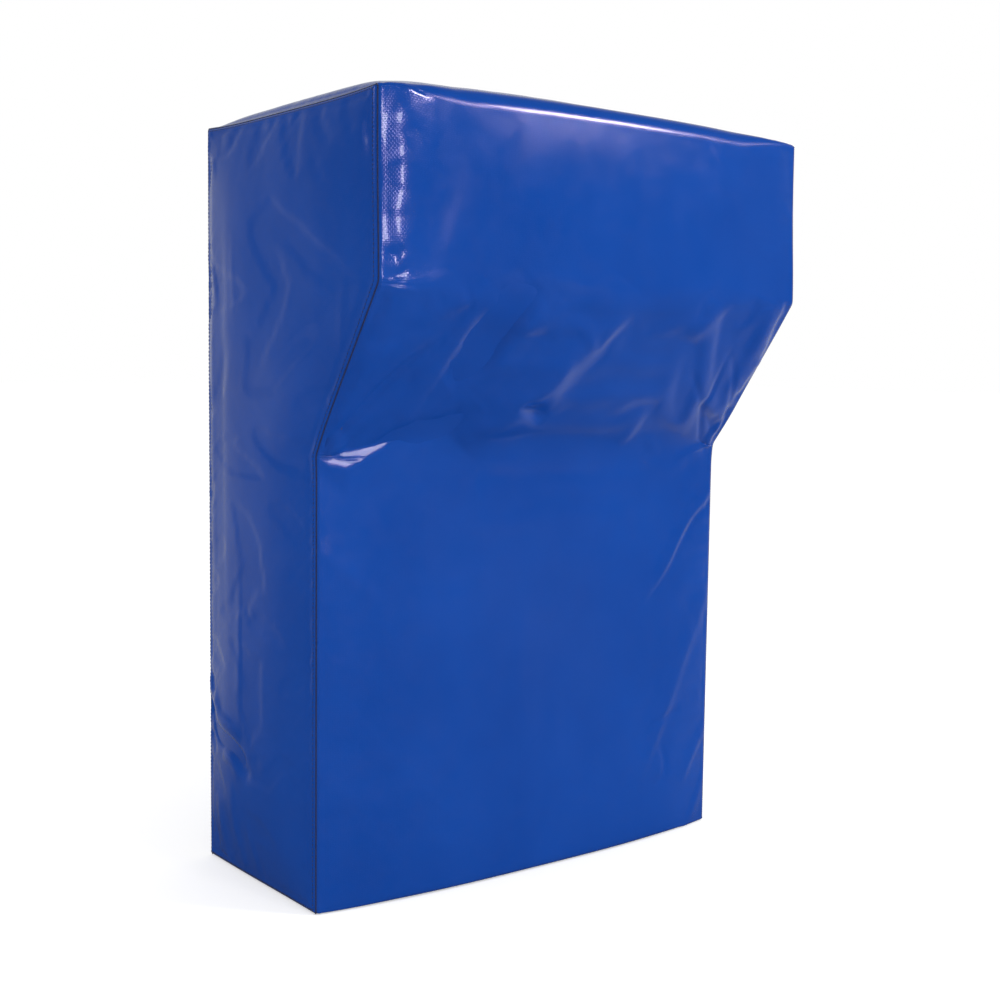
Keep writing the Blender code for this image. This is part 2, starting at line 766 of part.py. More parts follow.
def slider_x():
    """Where the slider's middle stands with the zip closed."""
    return -ZIP_HALF + SLIDER_START_GAP + SLIDER_LENGTH / 2


def pull_axis_y():
    """Height of the pull's pivot above the slider's roof."""
    corner = math.hypot(PULL_THICKNESS / 2, PULL_THICKNESS / 2)
    return SLIDER_ROOF_Y + PULL_CLEARANCE + corner


def zip_slider():
    """Slider: a roof and two side walls over the coils, a bridge for the pull, and a plate under the tapes."""
    x = slider_x()
    low_x, high_x = x - SLIDER_LENGTH / 2, x + SLIDER_LENGTH / 2
    inner = SEAT_GAP / 2 + COIL_WIDTH + SEAT_GAP
    outer = inner + SLIDER_WALL
    ceiling = COIL_TOP_Y + SEAT_GAP
    foot = TAPE_OUTER_Y + SEAT_GAP
    section = (
        (foot, -outer),
        (SLIDER_ROOF_Y, -outer),
        (SLIDER_ROOF_Y, outer),
        (foot, outer),
        (foot, inner),
        (ceiling, inner),
        (ceiling, -inner),
        (foot, -inner),
    )
    rings = [[(place, y, ZIP_Z + z) for y, z in section] for place in (low_x, high_x)]
    origin = (x, BACK_Y, ZIP_Z)
    slider = add_object("zip_slider", skin_rings(rings), "zip_metal", origin, smooth=False)
    corner = pull_axis_y() - SLIDER_ROOF_Y
    eye_half, eye_top = BRIDGE_REACH, SLIDER_ROOF_Y + 2 * corner
    post_half, bar_top = eye_half + BRIDGE_WALL, eye_top + BRIDGE_WALL
    root = SLIDER_ROOF_Y - BRIDGE_ROOT
    arch = (
        (-post_half, root),
        (-eye_half, root),
        (-eye_half, eye_top),
        (eye_half, eye_top),
        (eye_half, root),
        (post_half, root),
        (post_half, bar_top),
        (-post_half, bar_top),
    )
    rings = [[(x + a, y, ZIP_Z + z) for a, y in arch] for z in (-BRIDGE_WIDTH / 2, BRIDGE_WIDTH / 2)]
    cut(slider, add_object("slider_bridge", skin_rings(rings), "zip_metal", smooth=False), "UNION")
    half = SLIDER_BASE_LENGTH / 2
    plate = block((x - half, SLIDER_BASE_Y, ZIP_Z - outer), (x + half, TAPE_INNER_Y - SEAT_GAP, ZIP_Z + outer))
    add_object("zip_slider_base", plate, "zip_metal", origin, smooth=False)


def zip_pull():
    """Flat pull whose eye passes under the slider's bridge."""
    x, axis_y = slider_x(), pull_axis_y()
    half = PULL_THICKNESS / 2
    eye = BRIDGE_WIDTH / 2 + PULL_CLEARANCE
    width = PULL_WIDTH / 2
    outer = (
        (-half, -width),
        (PULL_LENGTH - PULL_CORNER, -width),
        (PULL_LENGTH, -width + PULL_CORNER),
        (PULL_LENGTH, width - PULL_CORNER),
        (PULL_LENGTH - PULL_CORNER, width),
        (-half, width),
    )
    inner = (
        (half, -eye),
        (PULL_EYE_LENGTH - half, -eye),
        (PULL_EYE_LENGTH, -eye / 2),
        (PULL_EYE_LENGTH, eye / 2),
        (PULL_EYE_LENGTH - half, eye),
        (half, eye),
    )
    rings = []
    for shape, y in ((outer, half), (outer, -half), (inner, -half), (inner, half)):
        rings.append([(x + a, axis_y + y, ZIP_Z + z) for a, z in shape])
    add_object("zip_pull", skin_rings(rings, cyclic=True), "zip_metal", (x, axis_y, ZIP_Z), smooth=False)


def strap_path(half_span, standoff, shares, sewn):
    """Middle line of a loop from its upper sewn end to its lower one, in y and z."""
    upper = []
    for share in shares:
        rise = standoff * (1 - share**STRAP_ARCH_POWER)
        upper.append((SEWN_Y + rise, half_span * share))
    bend = rounded_corner((SEWN_Y, half_span + sewn), upper[0], upper[1], STRAP_BEND_RADIUS)
    upper = [(SEWN_Y, half_span + sewn)] + bend + upper[1:]
    lower = [(y, -z) for y, z in reversed(upper[:-1])]
    return [(y, STRAP_CENTRE_Z + z) for y, z in upper + lower]


def rounded_corner(before, corner, after, radius):
    """Three points in place of one corner."""
    first, second = direction(before, corner), direction(corner, after)
    turn = math.acos(first[0] * second[0] + first[1] * second[1])
    reach = radius * math.tan(turn / 2)
    start = (corner[0] - first[0] * reach, corner[1] - first[1] * reach)
    end = (corner[0] + second[0] * reach, corner[1] + second[1] * reach)
    pull = radius * (1 / math.cos(turn / 2) - 1)
    middle_dir = (second[0] - first[0], second[1] - first[1])
    size = math.hypot(*middle_dir)
    middle = (corner[0] + middle_dir[0] / size * pull, corner[1] + middle_dir[1] / size * pull)
    return [start, middle, end]


def split_path(path, height):
    """The path's upper sewn end, raised middle and lower sewn end, parted at a height off the back."""
    level = SEWN_Y + height
    rising = next(k for k in range(len(path) - 1) if path[k][0] <= level < path[k + 1][0])
    a, b = path[rising], path[rising + 1]
    share = (level - a[0]) / (b[0] - a[0])
    step = direction(a, b)
    part = (level, a[1] + (b[1] - a[1]) * share)
    slide = SEAT_GAP / 2 / abs(step[1])
    fixed_end = (part[0] - step[0] * slide, part[1] - step[1] * slide)
    loop_end = (part[0] + step[0] * slide, part[1] + step[1] * slide)
    free = part[1] - STRAP_CENTRE_Z
    upper = [point for point in path[: rising + 1] if math.dist(point, part) > WEBBING] + [fixed_end]
    middle = [point for point in path if abs(point[1] - STRAP_CENTRE_Z) < free and point[0] > level + WEBBING]
    mirror = [(y, 2 * STRAP_CENTRE_Z - z) for y, z in (loop_end, *reversed(upper))]
    return upper, [loop_end, *middle, mirror[0]], mirror[1:]


def path_frames(path, level_start=False, level_end=False):
    """Each path point with the direction that its section's depth runs along, away from the back."""
    frames = []
    last = len(path) - 1
    for k, point in enumerate(path):
        before = direction(path[k - 1], point) if k else direction(point, path[1])
        after = direction(point, path[k + 1]) if k < last else before
        step = direction((0, 0), (before[0] + after[0], before[1] + after[1]))
        normal = (-step[1], step[0])
        if (k == 0 and level_start) or (k == last and level_end):
            frames.append((point, (1 / normal[0], 0)))
            continue
        stretch = 1 / (before[0] * step[0] + before[1] * step[1])
        frames.append((point, (normal[0] * stretch, normal[1] * stretch)))
    return frames


def swept(frames, x, section):
    """Rings of a section of (across, depth) carried along a path."""
    rings = []
    for (y, z), (depth_y, depth_z) in frames:
        rings.append([(x + a, y + d * depth_y, z + d * depth_z) for a, d in section])
    return rings


def strap_section(width, low, high):
    """A flat strap's section."""
    return ((-width / 2, low), (width / 2, low), (width / 2, high), (-width / 2, high))


def clip_path(path, half_height):
    """The part of a loop's path within a height of its middle, with its ends on the path."""
    kept = []
    for a, b in zip(path, path[1:]):
        for level in (STRAP_CENTRE_Z + half_height, STRAP_CENTRE_Z - half_height):
            if a[1] > level >= b[1]:
                share = (a[1] - level) / (a[1] - b[1])
                kept.append((a[0] + (b[0] - a[0]) * share, level))
        if abs(b[1] - STRAP_CENTRE_Z) < half_height - SEAT_GAP:
            kept.append(b)
    return kept


def split_height(width, swing):
    """Height off the back where the loop starts to turn, so that its edges clear the back."""
    return width / 2 * math.tan(swing) + STRAP_CLEARANCE


def strap_pieces(prefix, x, width, half_span, standoff, sewn, swing, shares):
    """Patches, sewn ends and the raised webbing of one loop. Gives back the raised part's path."""
    path = strap_path(half_span, standoff, shares, sewn)
    upper, middle, lower = split_path(path, split_height(width, swing))
    section = strap_section(width, -WEBBING / 2, WEBBING / 2)
    frames = path_frames(upper, level_end=True)
    add_object(f"{prefix}_strap_end_upper", skin_rings(swept(frames, x, section)), "webbing")
    frames = path_frames(lower, level_start=True)
    add_object(f"{prefix}_strap_end_lower", skin_rings(swept(frames, x, section)), "webbing")
    frames = path_frames(middle, level_start=True, level_end=True)
    axis = (x, SEWN_Y, STRAP_CENTRE_Z)
    add_object(f"{prefix}_strap_webbing", skin_rings(swept(frames, x, section)), "webbing", axis)
    for label, side in (("upper", 1), ("lower", -1)):
        near = STRAP_CENTRE_Z + side * (half_span - PATCH_INNER_MARGIN)
        far = STRAP_CENTRE_Z + side * (half_span + sewn + PATCH_OUTER_MARGIN)
        half = width / 2 + PATCH_SIDE_MARGIN
        shape = rounded_rectangle(x - half, x + half, min(near, far), max(near, far), PATCH_CORNER)
        rings = [[(a, y, b) for a, b in shape] for y in (BACK_Y + SEAT_GAP, PATCH_TOP_Y)]
        add_object(f"{prefix}_strap_patch_{label}", skin_rings(rings), "dark_vinyl")
    return middle, axis


def arm_strap():
    """Wide loop for the forearm, with a foam pad under the webbing and a sleeve round both."""
    middle, axis = strap_pieces(
        "arm", ARM_X, ARM_WIDTH, ARM_HALF_SPAN, ARM_STANDOFF, ARM_SEWN, ARM_SWING, ARM_PATH_SHARES
    )
    frames = path_frames(clip_path(middle, ARM_HALF_SPAN * ARM_PAD_SHARE))
    pad_width = ARM_WIDTH + 2 * ARM_PAD_OVERHANG
    foam_high = -WEBBING / 2 - SEAT_GAP
    foam_low = foam_high - ARM_PAD_FOAM
    section = chamfered(pad_width / 2, foam_low, foam_high, ARM_PAD_CORNER)
    add_object("arm_pad_foam", skin_rings(swept(frames, ARM_X, section)), "foam_soft", axis)
    bore_half, bore_low, bore_high = pad_width / 2 + SEAT_GAP, foam_low - SEAT_GAP, WEBBING / 2 + SEAT_GAP
    inner = chamfered(bore_half, bore_low, bore_high, ARM_PAD_CORNER - ARM_PAD_WALL)
    outer = chamfered(bore_half + ARM_PAD_WALL, bore_low - ARM_PAD_WALL, bore_high + ARM_PAD_WALL, ARM_PAD_CORNER)
    rings = swept(frames, ARM_X, outer) + swept(frames, ARM_X, inner)[::-1]
    add_object("arm_pad_sleeve", skin_rings(rings, cyclic=True), "dark_vinyl", axis)


def chamfered(half, low, high, corner):
    """A rectangular section with its corners cut off."""
    inset = min(corner, (high - low) / 3)
    return (
        (-half + inset, low),
        (half - inset, low),
        (half, low + inset),
        (half, high - inset),
        (half - inset, high),
        (-half + inset, high),
        (-half, high - inset),
        (-half, low + inset),
    )


def oval(half_width, half_depth):
    """A full, nearly oval section."""
    points = []
    for step in range(OVAL_STEPS):
        angle = 2 * math.pi * (step + 1 / 2) / OVAL_STEPS
        a, d = math.cos(angle), math.sin(angle)
        across = math.copysign(abs(a) ** OVAL_POWER_SHARE, a) * half_width
        depth = math.copysign(abs(d) ** OVAL_POWER_SHARE, d) * half_depth
        points.append((across, depth))
    return points


def slot_section(half_width, half_depth):
    """A slot with the oval's count of points, which has four at odd eighths of a turn for its corners."""
    points = []
    for step in range(OVAL_STEPS):
        angle = 2 * math.pi * (step + 1 / 2) / OVAL_STEPS
        a, d = math.cos(angle), math.sin(angle)
        reach = max(abs(a), abs(d))
        points.append((half_width * a / reach, half_depth * d / reach))
    return points


def grip_strap():
    """Narrow loop for the hand, with a rounded foam grip on the webbing and a sleeve over it."""
    middle, axis = strap_pieces(
        "grip", GRIP_X, GRIP_WIDTH, GRIP_HALF_SPAN, GRIP_STANDOFF, GRIP_SEWN, GRIP_SWING, GRIP_PATH_SHARES
    )
    frames = path_frames(clip_path(middle, GRIP_HALF_SPAN * GRIP_PAD_SHARE))
    foam = oval(GRIP_FOAM_WIDTH / 2, GRIP_FOAM_DEPTH / 2)
    slot = slot_section(GRIP_WIDTH / 2 + SEAT_GAP, WEBBING / 2 + SEAT_GAP)
    rings = swept(frames, GRIP_X, foam) + swept(frames, GRIP_X, slot)[::-1]
    add_object("grip_foam", skin_rings(rings, cyclic=True), "foam_soft", axis)
    inner = oval(GRIP_FOAM_WIDTH / 2 + SEAT_GAP, GRIP_FOAM_DEPTH / 2 + SEAT_GAP)
    wall = SEAT_GAP + GRIP_WALL
    outer = oval(GRIP_FOAM_WIDTH / 2 + wall, GRIP_FOAM_DEPTH / 2 + wall)
    rings = swept(frames, GRIP_X, outer) + swept(frames, GRIP_X, inner)[::-1]
    add_object("grip_sleeve", skin_rings(rings, cyclic=True), "dark_vinyl", axis)


def build():
    """All the pieces, from the cover inwards and then the back's fittings."""
    clear_scene()
    front_wrap_panel()
    base_panel()
    back_panels()
    for label, side in (("left", -1), ("right", 1)):
        side_panel(f"{label}_side_panel", side)
        seam_binding(f"seam_binding_{label}", side)
    foam_pieces()
    for number, (x, z) in enumerate(eyelet_places(), 1):
        vent_eyelet(number, x, z)
    zip_chain()
    zip_slider()
    zip_pull()
    arm_strap()
    grip_strap()


build()
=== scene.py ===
# %% [markdown]
# # A tackle shield, dressed for its picture
# A tackle shield is a thick block of foam in a glossy vinyl cover. One player holds it by two loops on
# its back, and another runs into its front. The head is deep, a slope runs in under it, and the lower
# part is thinner. The solids come from the CAD model, and this file gives them folds, seams and finishes.

# %% The frame
import math

import bmesh
import bpy
import numpy as np
from mathutils import Matrix, Vector, noise


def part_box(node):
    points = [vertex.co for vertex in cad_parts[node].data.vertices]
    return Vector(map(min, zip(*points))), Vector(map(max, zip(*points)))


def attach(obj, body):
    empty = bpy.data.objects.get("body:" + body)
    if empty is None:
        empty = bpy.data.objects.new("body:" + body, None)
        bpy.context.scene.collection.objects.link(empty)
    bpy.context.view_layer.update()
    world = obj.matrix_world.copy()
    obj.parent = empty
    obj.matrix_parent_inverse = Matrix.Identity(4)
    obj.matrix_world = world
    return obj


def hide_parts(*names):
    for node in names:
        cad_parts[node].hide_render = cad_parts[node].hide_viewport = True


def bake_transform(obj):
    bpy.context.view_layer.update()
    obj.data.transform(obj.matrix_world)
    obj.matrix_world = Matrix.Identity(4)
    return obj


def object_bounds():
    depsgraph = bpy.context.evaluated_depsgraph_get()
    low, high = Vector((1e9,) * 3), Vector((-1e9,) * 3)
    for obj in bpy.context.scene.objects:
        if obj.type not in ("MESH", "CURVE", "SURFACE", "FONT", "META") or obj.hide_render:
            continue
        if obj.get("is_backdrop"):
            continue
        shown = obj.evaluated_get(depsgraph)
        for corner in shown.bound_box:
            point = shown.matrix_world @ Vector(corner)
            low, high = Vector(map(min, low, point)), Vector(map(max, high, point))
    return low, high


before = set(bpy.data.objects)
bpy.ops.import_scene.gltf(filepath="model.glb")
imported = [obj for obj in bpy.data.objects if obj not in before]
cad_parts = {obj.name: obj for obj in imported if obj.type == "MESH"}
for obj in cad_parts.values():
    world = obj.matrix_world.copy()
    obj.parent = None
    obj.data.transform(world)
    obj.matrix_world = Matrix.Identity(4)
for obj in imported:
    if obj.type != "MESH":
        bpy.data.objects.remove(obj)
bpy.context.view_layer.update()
MM = 0.001

# %% [markdown]
# ## Camera
# A camera looks down its own -Z axis. Its place, turn, dip and tilt below put the corners of the shield
# where a person standing to its left sees them. The turn could be given as three angles, but a matrix
# made of the view's right, up and backward directions shows at once what points where.

# %% Camera
CAMERA_PLACE = Vector((-0.8655, -1.179, 0.479))
CAMERA_TURN, CAMERA_DIP, CAMERA_TILT = (math.radians(angle) for angle in (37.33, -5.18, 0.74))
LENS, SENSOR = 52.6, 36

scene = bpy.context.scene
scene.view_settings.view_transform = "Standard"
ahead = Vector((
    math.sin(CAMERA_TURN) * math.cos(CAMERA_DIP),
    math.cos(CAMERA_TURN) * math.cos(CAMERA_DIP),
    math.sin(CAMERA_DIP),
))
level = Vector((math.cos(CAMERA_TURN), -math.sin(CAMERA_TURN), 0))
upright = level.cross(ahead)
view_right = level * math.cos(CAMERA_TILT) + upright * math.sin(CAMERA_TILT)
view_up = upright * math.cos(CAMERA_TILT) - level * math.sin(CAMERA_TILT)
camera_data = bpy.data.cameras.new("camera")
camera_data.lens, camera_data.sensor_width = LENS, SENSOR
camera = bpy.data.objects.new("camera", camera_data)
turned = Matrix((view_right, view_up, -ahead)).transposed().to_4x4()
camera.matrix_world = Matrix.Translation(CAMERA_PLACE) @ turned
scene.collection.objects.link(camera)
scene.camera = camera
print("camera looks along", tuple(round(v, 3) for v in ahead))

# %% [markdown]
# ## Nodes by name
# A material is a tree of nodes. A few small helpers keep the trees readable: one adds a node and fills
# its inputs by name, and one wraps a few nodes into a group that several materials can share.

# %% Node helpers
def put(tree, kind, inputs=None, **settings):
    """Adds a node, sets its options, and gives each named input a value or another node's output."""
    made = tree.nodes.new(kind)
    for key, value in settings.items():
        setattr(made, key, value)
    for key, value in (inputs or {}).items():
        if isinstance(value, bpy.types.NodeSocket):
            tree.links.new(value, made.inputs[key])
        else:
            made.inputs[key].default_value = value
    return made


def maths(tree, operation, first, second=0.0):
    """One arithmetic step, as an output that the next one can take."""
    return put(tree, "ShaderNodeMath", {0: first, 1: second}, operation=operation).outputs[0]


def spread(tree, value, low, high, to_low, to_high, **settings):
    """A value read on a new scale and held to its ends."""
    inputs = {"Value": value, "From Min": low, "From Max": high, "To Min": to_low, "To Max": to_high}
    return put(tree, "ShaderNodeMapRange", inputs, **settings).outputs[0]


def effect(name, output, wire, **inputs):
    """A shader node group that puts out one number. wire(tree, inputs) returns what it carries."""
    tree = bpy.data.node_groups.new(name, "ShaderNodeTree")
    tree.interface.new_socket("Vector", in_out="INPUT", socket_type="NodeSocketVector")
    for label, value in inputs.items():
        socket = tree.interface.new_socket(label, in_out="INPUT", socket_type="NodeSocketFloat")
        socket.default_value = value
    tree.interface.new_socket(output, in_out="OUTPUT", socket_type="NodeSocketFloat")
    start, end = tree.nodes.new("NodeGroupInput"), tree.nodes.new("NodeGroupOutput")
    tree.links.new(wire(tree, start.outputs), end.inputs[output])
    return tree


def use(tree, group, **inputs):
    """Places a group in a material, with its own values, and gives its output."""
    return put(tree, "ShaderNodeGroup", inputs, node_tree=group).outputs[0]


def linked(name, data):
    """A new object in the scene."""
    made = bpy.data.objects.new(name, data)
    scene.collection.objects.link(made)
    return made


print("node helpers ready")

# %% [markdown]
# ## Studio
# The shield stands in a white studio. The world gives the soft light that comes from everywhere, and it
# is white to the camera. Gloss sees that white behind the shield and a dimmer room in front of it, as in
# a real studio, where the wall is lit and the camera's side isn't. Two lamps put the crisp highlights on
# the vinyl: a small strip nearly in front, and a box higher up on the right. A third one, wide and soft,
# lights the left side.

# %% Studio light
AMBIENT = 0.7
DIM_ROOM = 0.03
FLOOR_COLOUR = (0.82, 0.82, 0.82, 1)
# What the floor gives off by itself where it is seen, and half its side in metres
FLOOR_LIFT, FLOOR_HALF = 0.47, 30
# Where gloss sees the wall and the floor lit: direction, where it starts and is full, and how bright
LIT_WALL = ((0.5, 0.8, -0.2), 0.24, 1.0, 0.7)
LIT_FLOOR = (((0.75, 0.66, 0.0), 0.24, 0.95, 0.48), ((0.2, 0.98, 0.0), 0.36, 1.05, 0.4))
LAMPS = {
    "strip": {"place": (0.3, -2.7, 0.92), "aim": (0.0, -0.1, 0.9), "size": (0.38, 0.5), "power": 11},
    "box": {"place": (1.75, -2.0, 2.0), "aim": (0.0, -0.1, 0.4), "size": (0.6, 0.5), "power": 34},
    "side": {"place": (-2.6, 0.4, 1.7), "aim": (-0.2, 0.0, 0.35), "size": (1.4, 1.2), "power": 11.5},
}


def seen_directly(tree):
    """1 for a ray from the camera, off gloss or through glass, and 0 for light that is scattered."""
    path = put(tree, "ShaderNodeLightPath").outputs
    seen = maths(tree, "MAXIMUM", path["Is Camera Ray"], path["Is Transmission Ray"])
    return maths(tree, "MAXIMUM", seen, path["Is Glossy Ray"]), path


def lit_part(tree, place, direction, dark, white, peak):
    """How white the studio looks towards a place: white in one direction, dim in the others."""
    away = put(tree, "ShaderNodeVectorMath", {0: place}, operation="NORMALIZE").outputs[0]
    facing = put(tree, "ShaderNodeVectorMath", {0: away, 1: direction}, operation="DOT_PRODUCT").outputs[1]
    return spread(tree, facing, dark, white, DIM_ROOM, peak, interpolation_type="SMOOTHSTEP")


def studio_world():
    """White behind the shield, dim in front of it, and an even light for everything."""
    world = bpy.data.worlds.new("studio")
    world.use_nodes = True
    tree = world.node_tree
    tree.nodes.clear()
    seen, path = seen_directly(tree)
    direction = put(tree, "ShaderNodeTexCoord").outputs["Generated"]
    room = lit_part(tree, direction, *LIT_WALL)
    in_gloss = maths(tree, "MULTIPLY", path["Is Glossy Ray"], maths(tree, "SUBTRACT", 1.0, room))
    strength = maths(tree, "SUBTRACT", 1.0, in_gloss)
    even = put(tree, "ShaderNodeBackground", {"Color": (1, 1, 1, 1), "Strength": AMBIENT})
    white = put(tree, "ShaderNodeBackground", {"Color": (1, 1, 1, 1), "Strength": strength})
    mixed = put(tree, "ShaderNodeMixShader", {0: seen, 1: even.outputs[0], 2: white.outputs[0]})
    put(tree, "ShaderNodeOutputWorld", {"Surface": mixed.outputs[0]})
    scene.world = world


def studio_lamps():
    """The area lamps, each turned so that it faces the shield."""
    for name, lamp in LAMPS.items():
        data = bpy.data.lights.new(name, "AREA")
        data.shape = "RECTANGLE"
        data.size, data.size_y = lamp["size"]
        data.energy = lamp["power"]
        made = linked(name, data)
        made.location = lamp["place"]
        aim = Vector(lamp["aim"]) - Vector(lamp["place"])
        made.rotation_euler = aim.to_track_quat("-Z", "Y").to_euler()
        made.visible_camera = False


def studio_floor():
    """A pale floor that keeps the shield's shadow and is as white as the world away from it."""
    mesh = bpy.data.meshes.new("floor")
    corners = [(x * FLOOR_HALF, y * FLOOR_HALF, 0) for x, y in ((-1, -1), (1, -1), (1, 1), (-1, 1))]
    mesh.from_pydata(corners, [], [(0, 1, 2, 3)])
    floor = linked("floor", mesh)
    made = bpy.data.materials.new("floor_paper")
    made.use_nodes = True
    tree = made.node_tree
    tree.nodes.clear()
    seen, path = seen_directly(tree)
    paper = put(tree, "ShaderNodeBsdfDiffuse", {"Color": FLOOR_COLOUR})
    lift = put(tree, "ShaderNodeEmission", {"Strength": maths(tree, "MULTIPLY", seen, FLOOR_LIFT)})
    both = put(tree, "ShaderNodeAddShader", {0: paper.outputs[0], 1: lift.outputs[0]})
    place = put(tree, "ShaderNodeTexCoord").outputs["Object"]
    dim = put(tree, "ShaderNodeEmission", {"Strength": DIM_ROOM})
    lit = maths(tree, "MAXIMUM", *(lit_part(tree, place, *part) for part in LIT_FLOOR))
    unlit = maths(tree, "SUBTRACT", 1.0, lit)
    share = maths(tree, "MULTIPLY", path["Is Glossy Ray"], unlit)
    mixed = put(tree, "ShaderNodeMixShader", {0: share, 1: both.outputs[0], 2: dim.outputs[0]})
    put(tree, "ShaderNodeOutputMaterial", {"Surface": mixed.outputs[0]})
    mesh.materials.append(made)
    floor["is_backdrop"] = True


studio_world()
studio_lamps()
studio_floor()
print(len(LAMPS), "lamps and a floor")

# %% [markdown]
# ## Effects that several finishes share
# Woven cloth shows through the vinyl, the webbing and the zip's tape, only at different sizes, so the
# weave is one group with a pitch. Clouds make a colour or a gloss uneven over a hand's width. Scuffs are
# thin, long marks. Each group puts out a number that changes over the surface, and the shader itself
# stays in the material.

# %% Effect groups
def wire_weave(tree, given):
    """Over and under, thread by thread, from two coordinates counted in threads."""
    parts = put(tree, "ShaderNodeSeparateXYZ", {0: given["Vector"]}).outputs
    across = maths(tree, "DIVIDE", parts["X"], given["Pitch"])
    along = maths(tree, "DIVIDE", parts["Y"], given["Pitch"])
    crest_across = maths(tree, "ABSOLUTE", maths(tree, "SINE", maths(tree, "MULTIPLY", across, math.pi)))
    crest_along = maths(tree, "ABSOLUTE", maths(tree, "SINE", maths(tree, "MULTIPLY", along, math.pi)))
    square = maths(tree, "ADD", maths(tree, "FLOOR", across), maths(tree, "FLOOR", along))
    over = maths(tree, "FLOORED_MODULO", square, 2.0)
    return put(tree, "ShaderNodeMix", {0: over, 2: crest_across, 3: crest_along}).outputs[0]


def wire_clouds(tree, given):
    """Soft, uneven patches around 0.5."""
    inputs = {"Vector": given["Vector"], "Scale": given["Scale"], "Detail": 3.0, "Roughness": 0.55}
    return put(tree, "ShaderNodeTexNoise", inputs).outputs[0]


def wire_scuffs(tree, given):
    """Thin marks that run mostly one way, where a stretched noise passes a level."""
    stretched = put(tree, "ShaderNodeMapping", {"Vector": given["Vector"], "Scale": (1.0, 1.0, 0.12)})
    inputs = {"Vector": stretched.outputs[0], "Scale": given["Scale"], "Detail": 5.0, "Roughness": 0.7}
    streaks = put(tree, "ShaderNodeTexNoise", {**inputs, "Distortion": 0.8}).outputs[0]
    return spread(tree, streaks, 0.64, 0.74, 0.0, given["Amount"])


def wire_cells(tree, given):
    """Open bubbles of cut foam, large and small."""
    finer = maths(tree, "MULTIPLY", given["Scale"], 2.7)
    large, small = (
        put(tree, "ShaderNodeTexVoronoi", {"Vector": given["Vector"], "Scale": scale}).outputs[0]
        for scale in (given["Scale"], finer)
    )
    return maths(tree, "MULTIPLY", large, maths(tree, "ADD", small, 0.5))


WEAVE = effect("weave", "Height", wire_weave, Pitch=0.001)
CLOUDS = effect("clouds", "Value", wire_clouds, Scale=8.0)
SCUFFS = effect("scuffs", "Mask", wire_scuffs, Scale=30.0, Amount=1.0)
CELLS = effect("foam cells", "Height", wire_cells, Scale=400.0)
print("effect groups", [group.name for group in (WEAVE, CLOUDS, SCUFFS, CELLS)])

# %% [markdown]
# ## Finishes
# Blue vinyl is a woven scrim with a thick skin of soft plastic on it. It is smooth and wet-looking, and
# the scrim shows through as a fine weave in the highlights. Its weave follows the cloth, so it reads the
# piece's own UV map, which is in metres. Every other finish is made the same way: two near colours mixed
# by clouds, a gloss that varies, and a bump from its own grain.

# %% Finish builder
def blend_colours(tree, share, first, second):
    """One colour fading into another."""
    return put(tree, "ShaderNodeMix", {0: share, 6: first, 7: second}, data_type="RGBA").outputs[2]


def bumped(tree, height, depth, strength=1.0, under=None):
    """A bump of a given depth in metres, laid over another one."""
    inputs = {"Height": height, "Distance": depth, "Strength": strength}
    if under is not None:
        inputs["Normal"] = under
    return put(tree, "ShaderNodeBump", inputs).outputs[0]


def finish(name, constants):
    """A new material with its shader's constant values set on the shader's own sockets."""
    made = bpy.data.materials.new(name)
    made.use_nodes = True
    tree = made.node_tree
    shader = tree.nodes["Principled BSDF"]
    for key, value in constants.items():
        shader.inputs[key].default_value = value
    coordinates = put(tree, "ShaderNodeTexCoord").outputs
    return made, tree, shader, coordinates


def wired(tree, shader, colour, roughness, normal):
    """Links what varies over the surface to the shader."""
    for key, value in (("Base Color", colour), ("Roughness", roughness), ("Normal", normal)):
        tree.links.new(value, shader.inputs[key])


print("finish builder ready")

# %% Vinyl finishes
def vinyl(name, deep, pale, roughness, scrim, scrim_depth, coat):
    """Glossy coated cloth: clouds in colour and gloss, scuffs, and the scrim's weave as a bump."""
    constants = {
        "IOR": 1.46,
        "Specular IOR Level": 0.6,
        "Specular Tint": (0.8, 0.62, 1.0, 1),
        "Coat Weight": coat,
        "Coat Roughness": 0.05,
        "Coat IOR": 1.42,
    }
    made, tree, shader, place = finish(name, constants)
    broad = use(tree, CLOUDS, Vector=place["Object"], Scale=7.0)
    fine = use(tree, CLOUDS, Vector=place["Object"], Scale=60.0)
    marks = use(tree, SCUFFS, Vector=place["Object"], Scale=26.0, Amount=1.0)
    weave = use(tree, WEAVE, Vector=place["UV"], Pitch=scrim)
    uneven = spread(tree, broad, 0.3, 0.7, 0.0, 1.0)
    colour = blend_colours(tree, uneven, deep, pale)
    gloss = maths(tree, "ADD", spread(tree, fine, 0.3, 0.7, -0.03, 0.05), roughness)
    gloss = maths(tree, "ADD", gloss, maths(tree, "MULTIPLY", marks, 0.04))
    peel = bumped(tree, fine, 0.0006, 0.35)
    surface = bumped(tree, weave, scrim_depth, 1.0, peel)
    wired(tree, shader, colour, gloss, surface)
    return made


DEEP_BLUE, PALE_BLUE = (0.003, 0.057, 0.335, 1), (0.0055, 0.069, 0.385, 1)
BLUE_VINYL = vinyl("blue_vinyl", DEEP_BLUE, PALE_BLUE, 0.17, 0.0015, 0.00004, 0.38)
BLACK, CHARCOAL = (0.012, 0.013, 0.017, 1), (0.02, 0.021, 0.026, 1)
DARK_VINYL = vinyl("dark_vinyl", BLACK, CHARCOAL, 0.32, 0.0009, 0.00006, 0.25)
print("vinyl finishes", BLUE_VINYL.name, DARK_VINYL.name)

